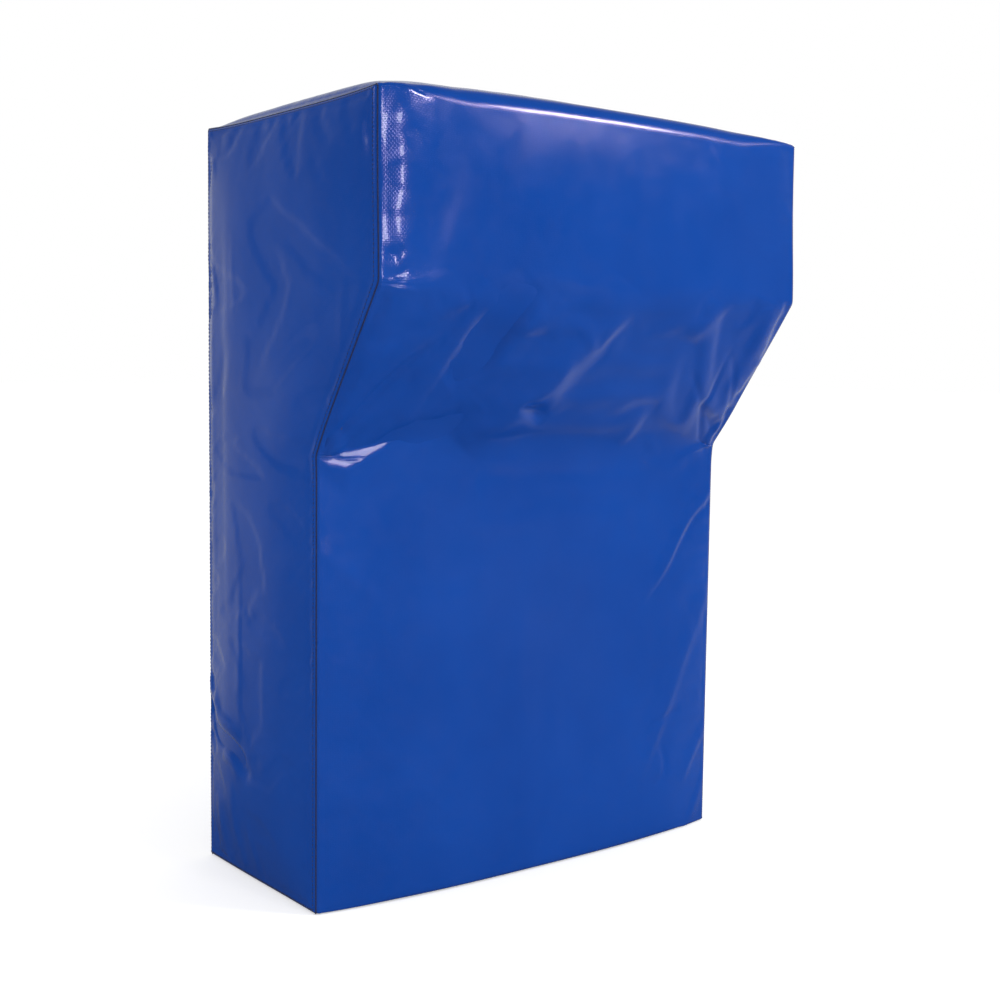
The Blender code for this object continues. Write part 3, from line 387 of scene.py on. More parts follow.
# %% Cloth, thread and foam finishes
def cloth(name, deep, pale, pitch, depth, roughness, source="UV"):
    """Woven nylon or polyester: a weave that darkens between its threads, as painted shade in its hollows."""
    made, tree, shader, place = finish(name, {"Specular IOR Level": 0.35, "Sheen Weight": 0.25})
    vector = place[source]
    if source == "Object":
        parts = put(tree, "ShaderNodeSeparateXYZ", {0: vector}).outputs
        turned = {"X": parts["X"], "Y": parts["Z"], "Z": parts["Y"]}
        vector = put(tree, "ShaderNodeCombineXYZ", turned).outputs[0]
    weave = use(tree, WEAVE, Vector=vector, Pitch=pitch)
    broad = use(tree, CLOUDS, Vector=place["Object"], Scale=30.0)
    # Painted shade: the colour follows the weave's height and is darkest between threads, and clouds vary its
    # tone at random
    tone = maths(tree, "MULTIPLY", weave, spread(tree, broad, 0.3, 0.7, 0.6, 1.0))
    rough = spread(tree, weave, 0.0, 1.0, min(roughness + 0.1, 1.0), roughness)
    wired(tree, shader, blend_colours(tree, tone, deep, pale), rough, bumped(tree, weave, depth))
    return made


def foam(name, deep, pale, scale):
    """Cut foam: open cells, darker in their hollows as painted shade, matt, with a little yellowing."""
    made, tree, shader, place = finish(name, {"Specular IOR Level": 0.2, "Sheen Weight": 0.1})
    cells = use(tree, CELLS, Vector=place["Object"], Scale=scale)
    aged = use(tree, CLOUDS, Vector=place["Object"], Scale=5.0)
    # Painted shade: the colour follows the cells' height and is darker in their hollows, and clouds add the
    # yellowing
    open_cells = spread(tree, cells, 0.0, 0.4, 0.5, 1.0)
    tone = maths(tree, "MULTIPLY", open_cells, spread(tree, aged, 0.3, 0.7, 0.7, 1.0))
    rough = spread(tree, cells, 0.0, 0.5, 1.0, 0.85)
    wired(tree, shader, blend_colours(tree, tone, deep, pale), rough, bumped(tree, cells, 0.0006))
    return made


INK, DARK_GREY = (0.006, 0.006, 0.008, 1), (0.028, 0.028, 0.034, 1)
WEBBING = cloth("webbing", INK, (0.035, 0.036, 0.042, 1), 0.0016, 0.0004, 0.55)
ZIP_TAPE = cloth("zip_tape", INK, DARK_GREY, 0.0007, 0.0002, 0.7, "Object")
BINDING = cloth("binding", (0.007, 0.007, 0.01, 1), (0.03, 0.031, 0.038, 1), 0.0009, 0.0002, 0.75, "Object")
FOAM_SOFT = foam("foam_soft", (0.5, 0.44, 0.3, 1), (0.84, 0.8, 0.66, 1), 420.0)
FOAM_FIRM = foam("foam_firm", (0.09, 0.1, 0.115, 1), (0.21, 0.225, 0.25, 1), 620.0)
print("cloth and foam finishes", [item.name for item in (WEBBING, ZIP_TAPE, BINDING, FOAM_SOFT, FOAM_FIRM)])

# %% Thread, metal and nylon finishes
def thread(name, deep, pale):
    """Twisted sewing thread, with its ply as slanting stripes, darker in the grooves between plies as painted
    shade.
    """
    made, tree, shader, place = finish(name, {"Specular IOR Level": 0.4, "Sheen Weight": 0.2})
    inputs = {"Vector": place["Object"], "Scale": 900.0, "Distortion": 0.4}
    ply = put(tree, "ShaderNodeTexWave", inputs, bands_direction="DIAGONAL").outputs[1]
    rough = spread(tree, ply, 0.0, 1.0, 0.75, 0.5)
    # Painted shade: the colour follows the ply's height and is darker in its grooves
    wired(tree, shader, blend_colours(tree, ply, deep, pale), rough, bumped(tree, ply, 0.0001))
    return made


def metal(name, fresh, tarnished, roughness):
    """Plated metal, duller and darker in patches, with fine scratches."""
    made, tree, shader, place = finish(name, {"Metallic": 1.0})
    dull = use(tree, CLOUDS, Vector=place["Object"], Scale=140.0)
    marks = use(tree, SCUFFS, Vector=place["Object"], Scale=420.0, Amount=1.0)
    tone = spread(tree, dull, 0.35, 0.7, 0.0, 1.0)
    gloss = maths(tree, "ADD", spread(tree, dull, 0.3, 0.7, -0.06, 0.12), roughness)
    gloss = maths(tree, "ADD", gloss, maths(tree, "MULTIPLY", marks, 0.2))
    wired(tree, shader, blend_colours(tree, tone, fresh, tarnished), gloss, bumped(tree, marks, 0.00004))
    return made


COVER_THREAD = thread("cover_thread", (0.002, 0.006, 0.05, 1), (0.006, 0.022, 0.13, 1))
STRAP_THREAD = thread("strap_thread", (0.01, 0.03, 0.14, 1), (0.03, 0.08, 0.34, 1))
BRASS = metal("eyelet_brass", (0.83, 0.62, 0.3, 1), (0.5, 0.34, 0.14, 1), 0.26)
ZIP_METAL = metal("zip_metal", (0.72, 0.72, 0.73, 1), (0.4, 0.4, 0.42, 1), 0.3)
print("thread and metal finishes", [item.name for item in (COVER_THREAD, STRAP_THREAD, BRASS, ZIP_METAL)])

# %% Nylon of the zip's coil
def nylon(name, deep, pale):
    """Moulded or drawn nylon, satin, with a faint draw line."""
    made, tree, shader, place = finish(name, {"Specular IOR Level": 0.45})
    drawn = use(tree, CLOUDS, Vector=place["Object"], Scale=900.0)
    rough = spread(tree, drawn, 0.3, 0.7, 0.34, 0.5)
    wired(tree, shader, blend_colours(tree, drawn, deep, pale), rough, bumped(tree, drawn, 0.00005))
    return made


COIL_NYLON = nylon("zip_coil", (0.012, 0.012, 0.015, 1), (0.05, 0.05, 0.056, 1))
print("nylon finish", COIL_NYLON.name)

# %% [markdown]
# ## The cover's shape
# Seen from the side the shield is one outline with six rounded corners. Panels that run across the width
# follow a stretch of it, and roll over at the side seams. The same outline, moved inwards, gives the
# roll. The shape could be a subdivided cage, but a rule keeps every seam exactly on the CAD's seam.

# %% The side outline
HEIGHT, WIDTH = 0.700, 0.485
BACK_Y, LOWER_Y, HEAD_Y = 0.101, -0.101, -0.197
HEAD_BREAK_Z, SLOPE_END_Z = 0.545, 0.402
EDGE_ROLL = 0.008
FLAT_HALF = WIDTH / 2 - EDGE_ROLL
ROLL_POWER = 4
SEAM_INSET = EDGE_ROLL * (1 - 0.5 ** (1 / ROLL_POWER))
SWELL_POWER = 3.0
SIDE_SWELL, SIDE_SWELL_DEPTH = 0.008, 0.081
LEAST_RADIUS = 0.002
EAR_START = 0.15
# Corners in order from the back of the base: radius in the middle and at the seam, swelling in y and z
CORNER_RADII = (0.009, 0.009, 0.018, 0.055, 0.075, 0.006)
SEAM_RADII = (0.004, 0.004, 0.005, 0.010, 0.009, 0.003)
CORNER_SWELL = ((0, 0), (0, 0.002), (-0.005, 0.006), (-0.007, -0.002), (-0.006, -0.003), (-0.017, 0))
# The run after each corner: back, top, head, slope, lower and base
RUN_SWELL = (0.0, 0.002, 0.003, 0.002, 0.002, 0.0)
# The top stands up steeply beside its seams, like a pillow that is lower on the right: at each corner and
# along its run
CORNER_PILLOW = (0.0, 0.001, 0.0015, 0.0, 0.0, 0.0)
TOP_PILLOW, PILLOW_POWER = 0.009, 40
# How much of its pillow the top loses to the right, from where, and over what width
PILLOW_LOSS, LOSS_FROM, LOSS_WIDTH = 0.7, -0.08, 0.32
# Corners and straight runs by turns
SECTIONS = (
    *("base_back", "back", "top_back", "top", "top_front", "head"),
    *("head_low", "slope", "crease", "lower", "base_front", "base"),
)


def slope_z(y, inset):
    """Height of the slope's plane at a depth y, moved into the body by the inset."""
    run_y, run_z = LOWER_Y - HEAD_Y, SLOPE_END_Z - HEAD_BREAK_Z
    length = math.hypot(run_y, run_z)
    normal_y, normal_z = run_z / length, -run_y / length
    return HEAD_BREAK_Z - normal_z * inset - (y - HEAD_Y + normal_y * inset) * normal_y / normal_z


def outline_arcs(inset, ear=0.0):
    """The six roundings of the outline moved inwards. ear is 1 at the side seams, with sharp corners."""
    low, high, back = inset, HEIGHT - inset, BACK_Y - inset
    head, lower = HEAD_Y + inset, LOWER_Y + inset
    places = [(back, low), (back, high), (head, high)]
    places += [(head, slope_z(head, inset)), (lower, slope_z(lower, inset)), (lower, low)]
    arcs = []
    for k, radius in enumerate(CORNER_RADII):
        here = np.array(places[k])
        before, after = here - places[k - 1], np.array(places[(k + 1) % len(places)]) - here
        before, after = before / np.linalg.norm(before), after / np.linalg.norm(after)
        turn = math.atan2(before[0] * after[1] - before[1] * after[0], before @ after)
        side = 1 if turn > 0 else -1
        radius += (SEAM_RADII[k] - radius) * ear
        radius = max(radius - inset, LEAST_RADIUS) if side > 0 else radius + inset
        normal = np.array((before[1], -before[0]))
        start = here - before * radius * math.tan(abs(turn) / 2)
        centre = start - side * normal * radius
        first = math.atan2(normal[1], normal[0])
        arcs.append((centre, radius * side, first, turn, CORNER_SWELL[k], CORNER_PILLOW[k]))
    return arcs


def arc_point(arc, share):
    """A point on one rounding: y, z, its outward direction, the swelling in y, z and outwards, the pillow."""
    centre, radius, first, turn, (swell_y, swell_z), pillow = arc
    angle = first + turn * share
    ny, nz = math.cos(angle), math.sin(angle)
    return (centre[0] + ny * radius, centre[1] + nz * radius, ny, nz, swell_y, swell_z, 0.0, pillow)


def outline_point(arcs, section, share):
    """A point on any section of the outline."""
    k = section // 2
    if section % 2 == 0:
        return arc_point(arcs[k], share)
    first, last = arc_point(arcs[k], 1), arc_point(arcs[(k + 1) % len(arcs)], 0)
    mixed = [a + (b - a) * share for a, b in zip(first, last)]
    mixed[6] = RUN_SWELL[k] * 4 * share * (1 - share)
    if SECTIONS[section] == "top":
        mixed[7] += TOP_PILLOW * (1 - (2 * share - 1) ** 6)
    return tuple(mixed)


def section_length(section):
    """Length of a section on the outer outline."""
    arcs = outline_arcs(0)
    first, last = outline_point(arcs, section, 0), outline_point(arcs, section, 1)
    if section % 2:
        return math.hypot(last[0] - first[0], last[1] - first[1])
    return abs(arcs[section // 2][1] * arcs[section // 2][3])


print("outline length", round(sum(section_length(k) for k in range(len(SECTIONS))), 4), "m")

# %% [markdown]
# ## Panels as grids
# A panel is a grid of points a few millimetres apart. A grid is easy to push about with arithmetic, and
# every point has flat coordinates, across and along, as the panel had on the cutting table. These become
# its UV map, so that the weave isn't stretched.

# %% Grids
def stations_along(first, last, count, opening=0.5, closing=0.5):
    """Evenly spaced places on the outline, from a share of one section to a share of another."""
    names = [SECTIONS.index(first)]
    while SECTIONS[names[-1]] != last:
        names.append((names[-1] + 1) % len(SECTIONS))
    pieces = []
    for n, section in enumerate(names):
        low = opening if n == 0 else 0
        high = closing if n == len(names) - 1 else 1
        pieces.append((section, low, high, section_length(section) * (high - low)))
    total = sum(piece[3] for piece in pieces)
    result = []
    for step in range(count + 1):
        left = total * step / count
        for section, low, high, length in pieces:
            if left <= length + 1e-9:
                break
            left -= length
        result.append((section, low + (high - low) * min(left / length, 1), total * step / count))
    return result


def stations_across(flat_count, roll_count):
    """Places across the width, from seam to seam: distance along the cloth, x and inset."""
    half = []
    for step in range(flat_count // 2 + 1):
        x = FLAT_HALF * 2 * step / flat_count
        half.append((x, x, 0.0))
    for step in range(1, roll_count + 1):
        turn = math.pi / 4 * step / roll_count
        reach, rise = (EDGE_ROLL * part ** (2 / ROLL_POWER) for part in (math.sin(turn), math.cos(turn)))
        distance, x, inset = half[-1]
        stride = math.hypot(FLAT_HALF + reach - x, EDGE_ROLL - rise - inset)
        half.append((distance + stride, FLAT_HALF + reach, EDGE_ROLL - rise))
    return [(-a, -x, inset) for a, x, inset in reversed(half[1:])] + half


def eased(value):
    """0 below 0, 1 above 1, and a smooth step between."""
    value = np.clip(value, 0, 1)
    return value * value * (3 - 2 * value)


def wrapped_grid(across, along):
    """Points of a panel that runs across the width, and their flat coordinates."""
    points = np.zeros((len(across), len(along), 3))
    flat = np.zeros((len(across), len(along), 2))
    for i, (distance, x, inset) in enumerate(across):
        arcs = outline_arcs(inset, eased((abs(x) - EAR_START) / (FLAT_HALF - EAR_START)))
        rows = np.array([outline_point(arcs, section, share) for section, share, _ in along])
        swelling = 1 - min(abs(x) / FLAT_HALF, 1) ** SWELL_POWER
        points[i, :, 0] = x
        points[i, :, 1] = rows[:, 0] + (rows[:, 4] + rows[:, 2] * rows[:, 6]) * swelling
        points[i, :, 2] = rows[:, 1] + (rows[:, 5] + rows[:, 3] * rows[:, 6]) * swelling
        pillow = 1 - min(abs(x) / FLAT_HALF, 1) ** PILLOW_POWER
        pillow *= 1 - PILLOW_LOSS * eased((x - LOSS_FROM) / LOSS_WIDTH)
        points[i, :, 2] += rows[:, 7] * pillow
        flat[i, :, 0] = distance
        flat[i, :, 1] = [station[2] for station in along]
    return settled(points), flat


def bell(distance, width):
    """1 at no distance, and dying away smoothly over a width."""
    return np.exp(-((distance / width) ** 2))


# How far the right side leans out at the head's lower end and in below it, the left side's shift, the sag
LEAN_OUT, LEAN_IN, LEFT_SHIFT, SEAM_SAG = 0.0045, 0.0055, 0.0018, 0.0028


def settled(points):
    """The foam isn't quite square: the head's right end leans out, and the seams sag between corners."""
    x, y, z = points[..., 0], points[..., 1], points[..., 2]
    front = eased((0.06 - y) / 0.16)
    low = eased((0.44 - z) / 0.06)
    near_break = bell(z - HEAD_BREAK_Z, 0.07)
    right, left = eased(x / 0.24), eased(-x / 0.24)
    shift_x = right * (LEAN_OUT * near_break - LEAN_IN * low)
    shift_x = front * (shift_x + left * LEFT_SHIFT * np.maximum(low, near_break))
    depth = np.clip((BACK_Y - y) / (BACK_Y - HEAD_Y), 0, 1)
    sag = (1 - (2 * depth - 1) ** 4) * eased((z - 0.62) / 0.07) * eased((np.abs(x) - 0.18) / 0.05)
    return points + np.stack((shift_x, np.zeros(x.shape), -SEAM_SAG * sag), axis=-1)


def unit(vectors):
    """Vectors of any length, made 1 long."""
    return vectors / np.maximum(np.linalg.norm(vectors, axis=-1, keepdims=True), 1e-12)


def grid_normals(points, outward=None):
    """Unit directions off a grid's face, turned to the side that outward points to."""
    normals = unit(np.cross(np.gradient(points, axis=0), np.gradient(points, axis=1)))
    if outward is None:
        return normals
    middle = normals[points.shape[0] // 2, points.shape[1] // 2]
    return normals if middle @ np.array(outward) > 0 else -normals


print("grid helpers ready")

# %% [markdown]
# ## The side panels
# A side panel fills the whole outline. Its grid is stretched between the four edges of the outline, and
# how far each point stands out depends only on its distance from the nearest edge: a quarter-round at
# the seam, then a shallow swelling towards the middle.

# %% Side grid
def edge_line(first, last, inset, count=600, opening=0.5, closing=0.5):
    """A stretch of the outline moved inwards, as y and z."""
    arcs, stations = outline_arcs(inset, 1.0), stations_along(first, last, count, opening, closing)
    return np.array([outline_point(arcs, section, share)[:2] for section, share, _ in stations])


def eased_steps(count, length, seam_zone=0.012, seam_steps=8):
    """Shares from 0 to 1 that lie closer together beside both seams."""
    edge = np.linspace(0, seam_zone / length, seam_steps + 1)
    inner = np.linspace(seam_zone / length, 1 - seam_zone / length, count - 2 * seam_steps + 1)
    return np.concatenate((edge[:-1], inner, 1 - edge[::-1][1:]))


def along_edge(line, axis, shares):
    """Points of a line at shares of its extent along one axis."""
    order = np.argsort(line[:, axis], kind="stable")
    ordered = line[order]
    wanted = ordered[0, axis] + shares * (ordered[-1, axis] - ordered[0, axis])
    other = np.interp(wanted, ordered[:, axis], ordered[:, 1 - axis])
    result = np.zeros((len(shares), 2))
    result[:, axis], result[:, 1 - axis] = wanted, other
    return result


def side_region(columns, rows):
    """Points inside the side seam, stretched between the back, front, base and top edges."""
    inset = SEAM_INSET
    shares_q, shares_w = eased_steps(columns, BACK_Y - LOWER_Y), eased_steps(rows, HEIGHT)
    back = along_edge(edge_line("base_back", "top_back", inset), 1, shares_w)
    front = along_edge(edge_line("top_front", "base_front", inset), 1, shares_w)
    base = along_edge(edge_line("base_front", "base_back", inset), 0, 1 - shares_q)
    top = along_edge(edge_line("top_back", "top_front", inset), 0, 1 - shares_q)
    q, w = shares_q[:, None, None], shares_w[None, :, None]
    flat = (1 - q) * back[None] + q * front[None] + (1 - w) * base[:, None] + w * top[:, None]
    flat -= (1 - q) * (1 - w) * back[0] + q * (1 - w) * front[0] + (1 - q) * w * back[-1] + q * w * front[-1]
    return flat


def distance_to_line(places, line):
    """Distance of each place from a closed line of points."""
    flat = places.reshape(-1, 2)
    nearest = np.full(len(flat), 1e9)
    for a, b in zip(line, np.roll(line, -1, axis=0)):
        step = b - a
        share = np.clip(((flat - a) @ step) / max(step @ step, 1e-18), 0, 1)
        gap = flat - a - share[:, None] * step
        nearest = np.minimum(nearest, np.einsum("ij,ij->i", gap, gap))
    return np.sqrt(nearest).reshape(places.shape[:2])


def smoothed(field, rounds, fixed):
    """Evens out a field of numbers on a grid, except where it is fixed."""
    for _ in range(rounds):
        padded = np.pad(field, 1, mode="edge")
        mean = (padded[:-2, 1:-1] + padded[2:, 1:-1] + padded[1:-1, :-2] + padded[1:-1, 2:]) / 4
        field = np.where(fixed, field, mean)
    return field


def side_grid(side, columns, rows):
    """Points of a side panel, their flat coordinates and their distance from the outline."""
    region = side_region(columns, rows)
    depth = distance_to_line(region, edge_line("back", "base_back", 0, 500, 0, 1))
    share = np.clip((depth - EDGE_ROLL) / (SIDE_SWELL_DEPTH - EDGE_ROLL), 0, 1)
    swell = SIDE_SWELL * (1 - (1 - share) ** 2)
    swell = smoothed(swell, 60, depth < EDGE_ROLL * 1.5)
    rolled = np.minimum(depth, EDGE_ROLL)
    reach = (EDGE_ROLL**ROLL_POWER - (EDGE_ROLL - rolled) ** ROLL_POWER) ** (1 / ROLL_POWER) + swell
    points = np.zeros(region.shape[:2] + (3,))
    points[..., 0] = side * (FLAT_HALF + reach)
    points[..., 1:] = region
    return settled(points), region.copy(), depth


print("side helpers ready")

# %% [markdown]
# ## From grid to cloth with a thickness
# A cover panel is 1.2 mm thick, and its edge turns in at the seam. The face is a fine grid. The wall on
# the inside is never seen, so it gets one point for every four, and the rim joins the two. That keeps a
# panel closed all round for half the triangles of a plain Solidify. The first cell holds the helpers that
# number faces, join them and read points, for every piece.

# %% Meshes
# The distance within which points are one, and the angle up to which two faces are one flat face
MERGE_DISTANCE, FLAT_ANGLE = 1e-6, math.radians(3)


def grid_faces(rows, columns, first=0, flipped=False):
    """Four-cornered faces of a grid whose points are numbered row by row."""
    corners = (0, columns, columns + 1, 1) if flipped else (0, 1, columns + 1, columns)
    starts = [first + i * columns + j for i in range(rows - 1) for j in range(columns - 1)]
    return [tuple(start + corner for corner in corners) for start in starts]


def ring_faces(low, high, flipped=False):
    """Faces between two closed rings of points that are listed in the same order."""
    nexts = [*range(1, len(low)), 0]
    if flipped:
        return [(low[k], high[k], high[n], low[n]) for k, n in enumerate(nexts)]
    return [(low[k], low[n], high[n], high[k]) for k, n in enumerate(nexts)]


def tube_faces(rings, count, first=0, flipped=False):
    """Faces of a tube of rings, each with the same count of points."""
    numbers = [range(first + ring * count, first + (ring + 1) * count) for ring in range(rings)]
    return [face for low, high in zip(numbers, numbers[1:]) for face in ring_faces(low, high, flipped)]


def new_mesh(name, verts, faces=(), edges=()):
    """A mesh from lists of points, edges and faces."""
    mesh = bpy.data.meshes.new(name)
    mesh.from_pydata(verts, edges, faces)
    mesh.update()
    return mesh


def tidied(mesh, merge=False, flatten=False):
    """Turns all faces outwards, after joining loose triangles and flat neighbours where asked."""
    bm = bmesh.new()
    bm.from_mesh(mesh)
    if merge:
        bmesh.ops.remove_doubles(bm, verts=bm.verts[:], dist=MERGE_DISTANCE)
    if flatten:
        bmesh.ops.dissolve_limit(bm, angle_limit=FLAT_ANGLE, verts=bm.verts[:], edges=bm.edges[:])
    bmesh.ops.recalc_face_normals(bm, faces=bm.faces[:])
    bm.to_mesh(mesh)
    bm.free()


def vertex_places(mesh):
    """A mesh's points, one row each."""
    places = np.zeros(len(mesh.vertices) * 3)
    mesh.vertices.foreach_get("co", places)
    return places.reshape(-1, 3)


def write_uv(mesh, places):
    """Gives each vertex its flat coordinates, in metres."""
    layer = mesh.uv_layers.new(name="flat")
    corners = np.zeros(len(mesh.loops), dtype=np.int32)
    mesh.loops.foreach_get("vertex_index", corners)
    layer.data.foreach_set("uv", places[corners].astype(np.float32).ravel())


def evaluated_mesh(piece):
    """What a piece's modifiers make of it, as a mesh of its own."""
    graph = bpy.context.evaluated_depsgraph_get()
    return bpy.data.meshes.new_from_object(piece.evaluated_get(graph))


def bake(piece):
    """Makes what the modifiers give into the piece's own mesh."""
    made = evaluated_mesh(piece)
    piece.modifiers.clear()
    made.name = piece.name
    piece.data = made


def painted(mesh, material):
    """Gives a mesh one material and no other."""
    mesh.materials.clear()
    mesh.materials.append(material)


def add_piece(name, mesh, material, smooth=True):
    """Links a mesh as an object at the origin, with its finish."""
    painted(mesh, material)
    if smooth:
        mesh.shade_smooth()
    return linked(name, mesh)


print("mesh helpers ready")

# %% Panel maker
VINYL = 0.0012
COARSE = 4
LIP_DEPTHS = (0.0012, 0.0032)
SEAM_SETBACK = 0.0005


def border(rows, columns):
    """Grid indices of the border, in order round it."""
    loop = [(0, j) for j in range(columns)] + [(i, columns - 1) for i in range(1, rows)]
    loop += [(rows - 1, j) for j in range(columns - 2, -1, -1)] + [(i, 0) for i in range(rows - 2, 0, -1)]
    return loop


def panel(name, face, flat, outward, base, lip=LIP_DEPTHS):
    """A closed panel from the grid of its face. base is the face before its folds, for the inner wall."""
    rows, columns = face.shape[:2]
    normals = grid_normals(base, outward)
    loop = border(rows, columns)
    inner_loop = border((rows - 1) // COARSE + 1, (columns - 1) // COARSE + 1)
    verts = [face.reshape(-1, 3)]
    uvs = [flat.reshape(-1, 2)]
    index = np.array([i * columns + j for i, j in loop])
    edge = np.array([face[i, j] for i, j in loop])
    out = np.array([normals[i, j] for i, j in loop])
    inside = np.array([face[min(max(i, 1), rows - 2), min(max(j, 1), columns - 2)] for i, j in loop])
    inwards = inside - edge
    inwards = unit(inwards - out * np.einsum("ij,ij->i", inwards, out)[:, None])
    count, offset = len(loop), rows * columns
    rings = [index]
    for depth in lip:
        verts.append(edge - out * depth + inwards * SEAM_SETBACK)
        uvs.append(np.array([flat[i, j] for i, j in loop]))
        rings.append(np.arange(offset, offset + count))
        offset += count
    wall = base[::COARSE, ::COARSE] - normals[::COARSE, ::COARSE] * VINYL * 1.6
    inner_edge = edge - out * lip[-1] + inwards * (SEAM_SETBACK + VINYL)
    for k, (i, j) in enumerate(inner_loop):
        wall[i, j] = inner_edge[k * COARSE]
    verts.append(wall.reshape(-1, 3))
    uvs.append(flat[::COARSE, ::COARSE].reshape(-1, 2))
    wall_rows, wall_columns = wall.shape[:2]
    faces = grid_faces(rows, columns)
    for low, high in zip(rings, rings[1:]):
        faces += ring_faces(low, high, flipped=True)
    faces += grid_faces(wall_rows, wall_columns, offset, flipped=True)
    inner_index = [offset + i * wall_columns + j for i, j in inner_loop]
    for k, here in enumerate(inner_index):
        there = inner_index[(k + 1) % len(inner_index)]
        rim = [rings[-1][(k * COARSE + n) % count] for n in range(COARSE + 1)]
        faces.append((*rim, there, here))
    mesh = new_mesh(name, np.concatenate(verts).tolist(), [tuple(int(v) for v in f) for f in faces])
    write_uv(mesh, np.concatenate(uvs))
    tidied(mesh)
    return add_piece(name, mesh, BLUE_VINYL)


def finished(piece, body, slot, *nodes, fill=None):
    """Attaches a piece to the body it rides on and hides the CAD nodes it stands for. slot and fill are not
    used.
    """
    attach(piece, body)
    if nodes:
        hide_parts(*nodes)
    print(piece.name, len(piece.data.polygons), "faces, rides on", body)
    return piece


print("panel maker ready")

# %% [markdown]
# ## Folds
# Vinyl over foam doesn't stretch, so where the cover bends inwards under the head the spare cloth gathers
# into folds that fan out from the seams. Each fold here is a line drawn on the flat panel, with a width,
# a height, and a side on which it falls away faster. Small puckers run in from every seam, because
# stitching gathers the cloth a little. A slow noise takes away the last of the machine-made flatness.

# %% Fold maker
CURVE_STEPS = 12


def curve_point(p0, p1, p2, p3, t):
    """A point of a Catmull-Rom curve, at a share t of the way from p1 to p2."""
    square, cube = 2 * p0 - 5 * p1 + 4 * p2 - p3, 3 * p1 - p0 - 3 * p2 + p3
    return 0.5 * (2 * p1 + (p2 - p0) * t + square * t**2 + cube * t**3)


def curve_through(points):
    """A smooth line through points."""
    knots = np.array(points, float)
    knots = np.vstack((2 * knots[0] - knots[1], knots, 2 * knots[-1] - knots[-2]))
    starts = range(len(knots) - 3)
    line = [curve_point(*knots[k : k + 4], step / CURVE_STEPS) for k in starts for step in range(CURVE_STEPS)]
    return np.array([*line, knots[-2]])


def fold(flat, points, width, height, lean=0.0, start=0.0, end=0.0):
    """Height of one fold over the panel. All sizes are in millimetres, and lean runs from -1 to 1.

    start and end are the shares of its height that the fold still has at its two ends.
    """
    line = curve_through(points) * MM
    width, height = width * MM, height * MM
    low, high = line.min(0) - 4 * width, line.max(0) + 4 * width
    near = np.all((flat > low) & (flat < high), axis=2)
    places = flat[near]
    best = np.full(len(places), 1e9)
    side, share = np.zeros(len(places)), np.zeros(len(places))
    lengths = np.linalg.norm(np.diff(line, axis=0), axis=1)
    reached = np.concatenate(((0,), np.cumsum(lengths)))
    for k, length in enumerate(lengths):
        step = line[k + 1] - line[k]
        t = np.clip((places - line[k]) @ step / length**2, 0, 1)
        gap = places - line[k] - t[:, None] * step
        distance = np.linalg.norm(gap, axis=1)
        closer = distance < best
        best = np.where(closer, distance, best)
        turn = step[0] * gap[:, 1] - step[1] * gap[:, 0]
        side = np.where(closer, np.sign(turn), side)
        share = np.where(closer, (reached[k] + t * length) / reached[-1], share)
    level = np.sin(np.pi * np.clip(share, 0, 1)) ** 0.8
    level = np.maximum(level, start * (1 - share) ** 1.5)
    level = np.maximum(level, end * share**1.5)
    result = np.zeros(flat.shape[:2])
    result[near] = height * level * bell(best, width * (1 + lean * side))
    return result


def all_folds(flat, rows):
    """Height of a whole list of folds over the panel."""
    return sum((fold(flat, *row) for row in rows), np.zeros(flat.shape[:2]))


def ripples(flat, size, amount, seed):
    """Slow unevenness over a panel."""
    values = [noise.noise(Vector((u / size + seed, v / size - seed, seed))) for u, v in flat.reshape(-1, 2)]
    return np.array(values).reshape(flat.shape[:2]) * amount


PUCKER_PITCH, PUCKER_START, PUCKER_REACH = 0.021, 0.004, 0.014
GROOVE_DEPTH, GROOVE_WIDTH = 0.0011, 0.0028


def puckers(place, distance, reach, amount, seed):
    """Small waves along a seam that die away from it."""
    wave = np.zeros(place.shape)
    for k in range(4):
        length = PUCKER_PITCH * (0.62 + 0.41 * k)
        wave += np.sin(2 * np.pi * place / length + seed * (k + 1.7)) / (k + 1.5)
    patchy = 0.55 + 0.45 * np.sin(2 * np.pi * place / (PUCKER_PITCH * 9.1) + seed * 2.3)
    return amount * wave * patchy * np.exp(-distance / reach) * (1 - bell(distance, PUCKER_START))


def seam_groove(distance):
    """How far the cloth dips beside a seam."""
    return -GROOVE_DEPTH * bell(distance, GROOVE_WIDTH)


def border_distances(flat):
    """Distance along the cloth to each of a grid's four borders."""
    return (
        np.abs(flat[..., 0] - flat[:1, :, 0]),
        np.abs(flat[..., 0] - flat[-1:, :, 0]),
        np.abs(flat[..., 1] - flat[:, :1, 1]),
        np.abs(flat[..., 1] - flat[:, -1:, 1]),
    )


def seam_dress(flat, seed, amounts):
    """Grooves and puckers at a panel's left, right, first and last borders."""
    result = np.zeros(flat.shape[:2])
    for k, (distance, amount) in enumerate(zip(border_distances(flat), amounts)):
        place = flat[..., 1] if k < 2 else flat[..., 0]
        result += seam_groove(distance) + puckers(place, distance, PUCKER_REACH, amount, seed + 2.9 * k)
    return result


print("fold maker ready")

# %% [markdown]
# ## Cloth simulation
# Folds that are drawn one by one are few and smooth. The simulation adds what lies between them: the cloth
# is held at its seams and pressed out by the foam, and it is cut slightly too large, so it buckles as
# real vinyl does. It runs on a coarse grid, its movement is capped, and the result is spread over the
# fine grid.

# %% Cloth helper
CLOTH_FRAMES = 20
CLOTH_SETTINGS = {
    "quality": 5,
    "mass": 0.3,
    "air_damping": 3,
    "tension_stiffness": 30,
    "compression_stiffness": 30,
    "shear_stiffness": 12,
    "bending_stiffness": 4.0,
    "use_pressure": True,
}


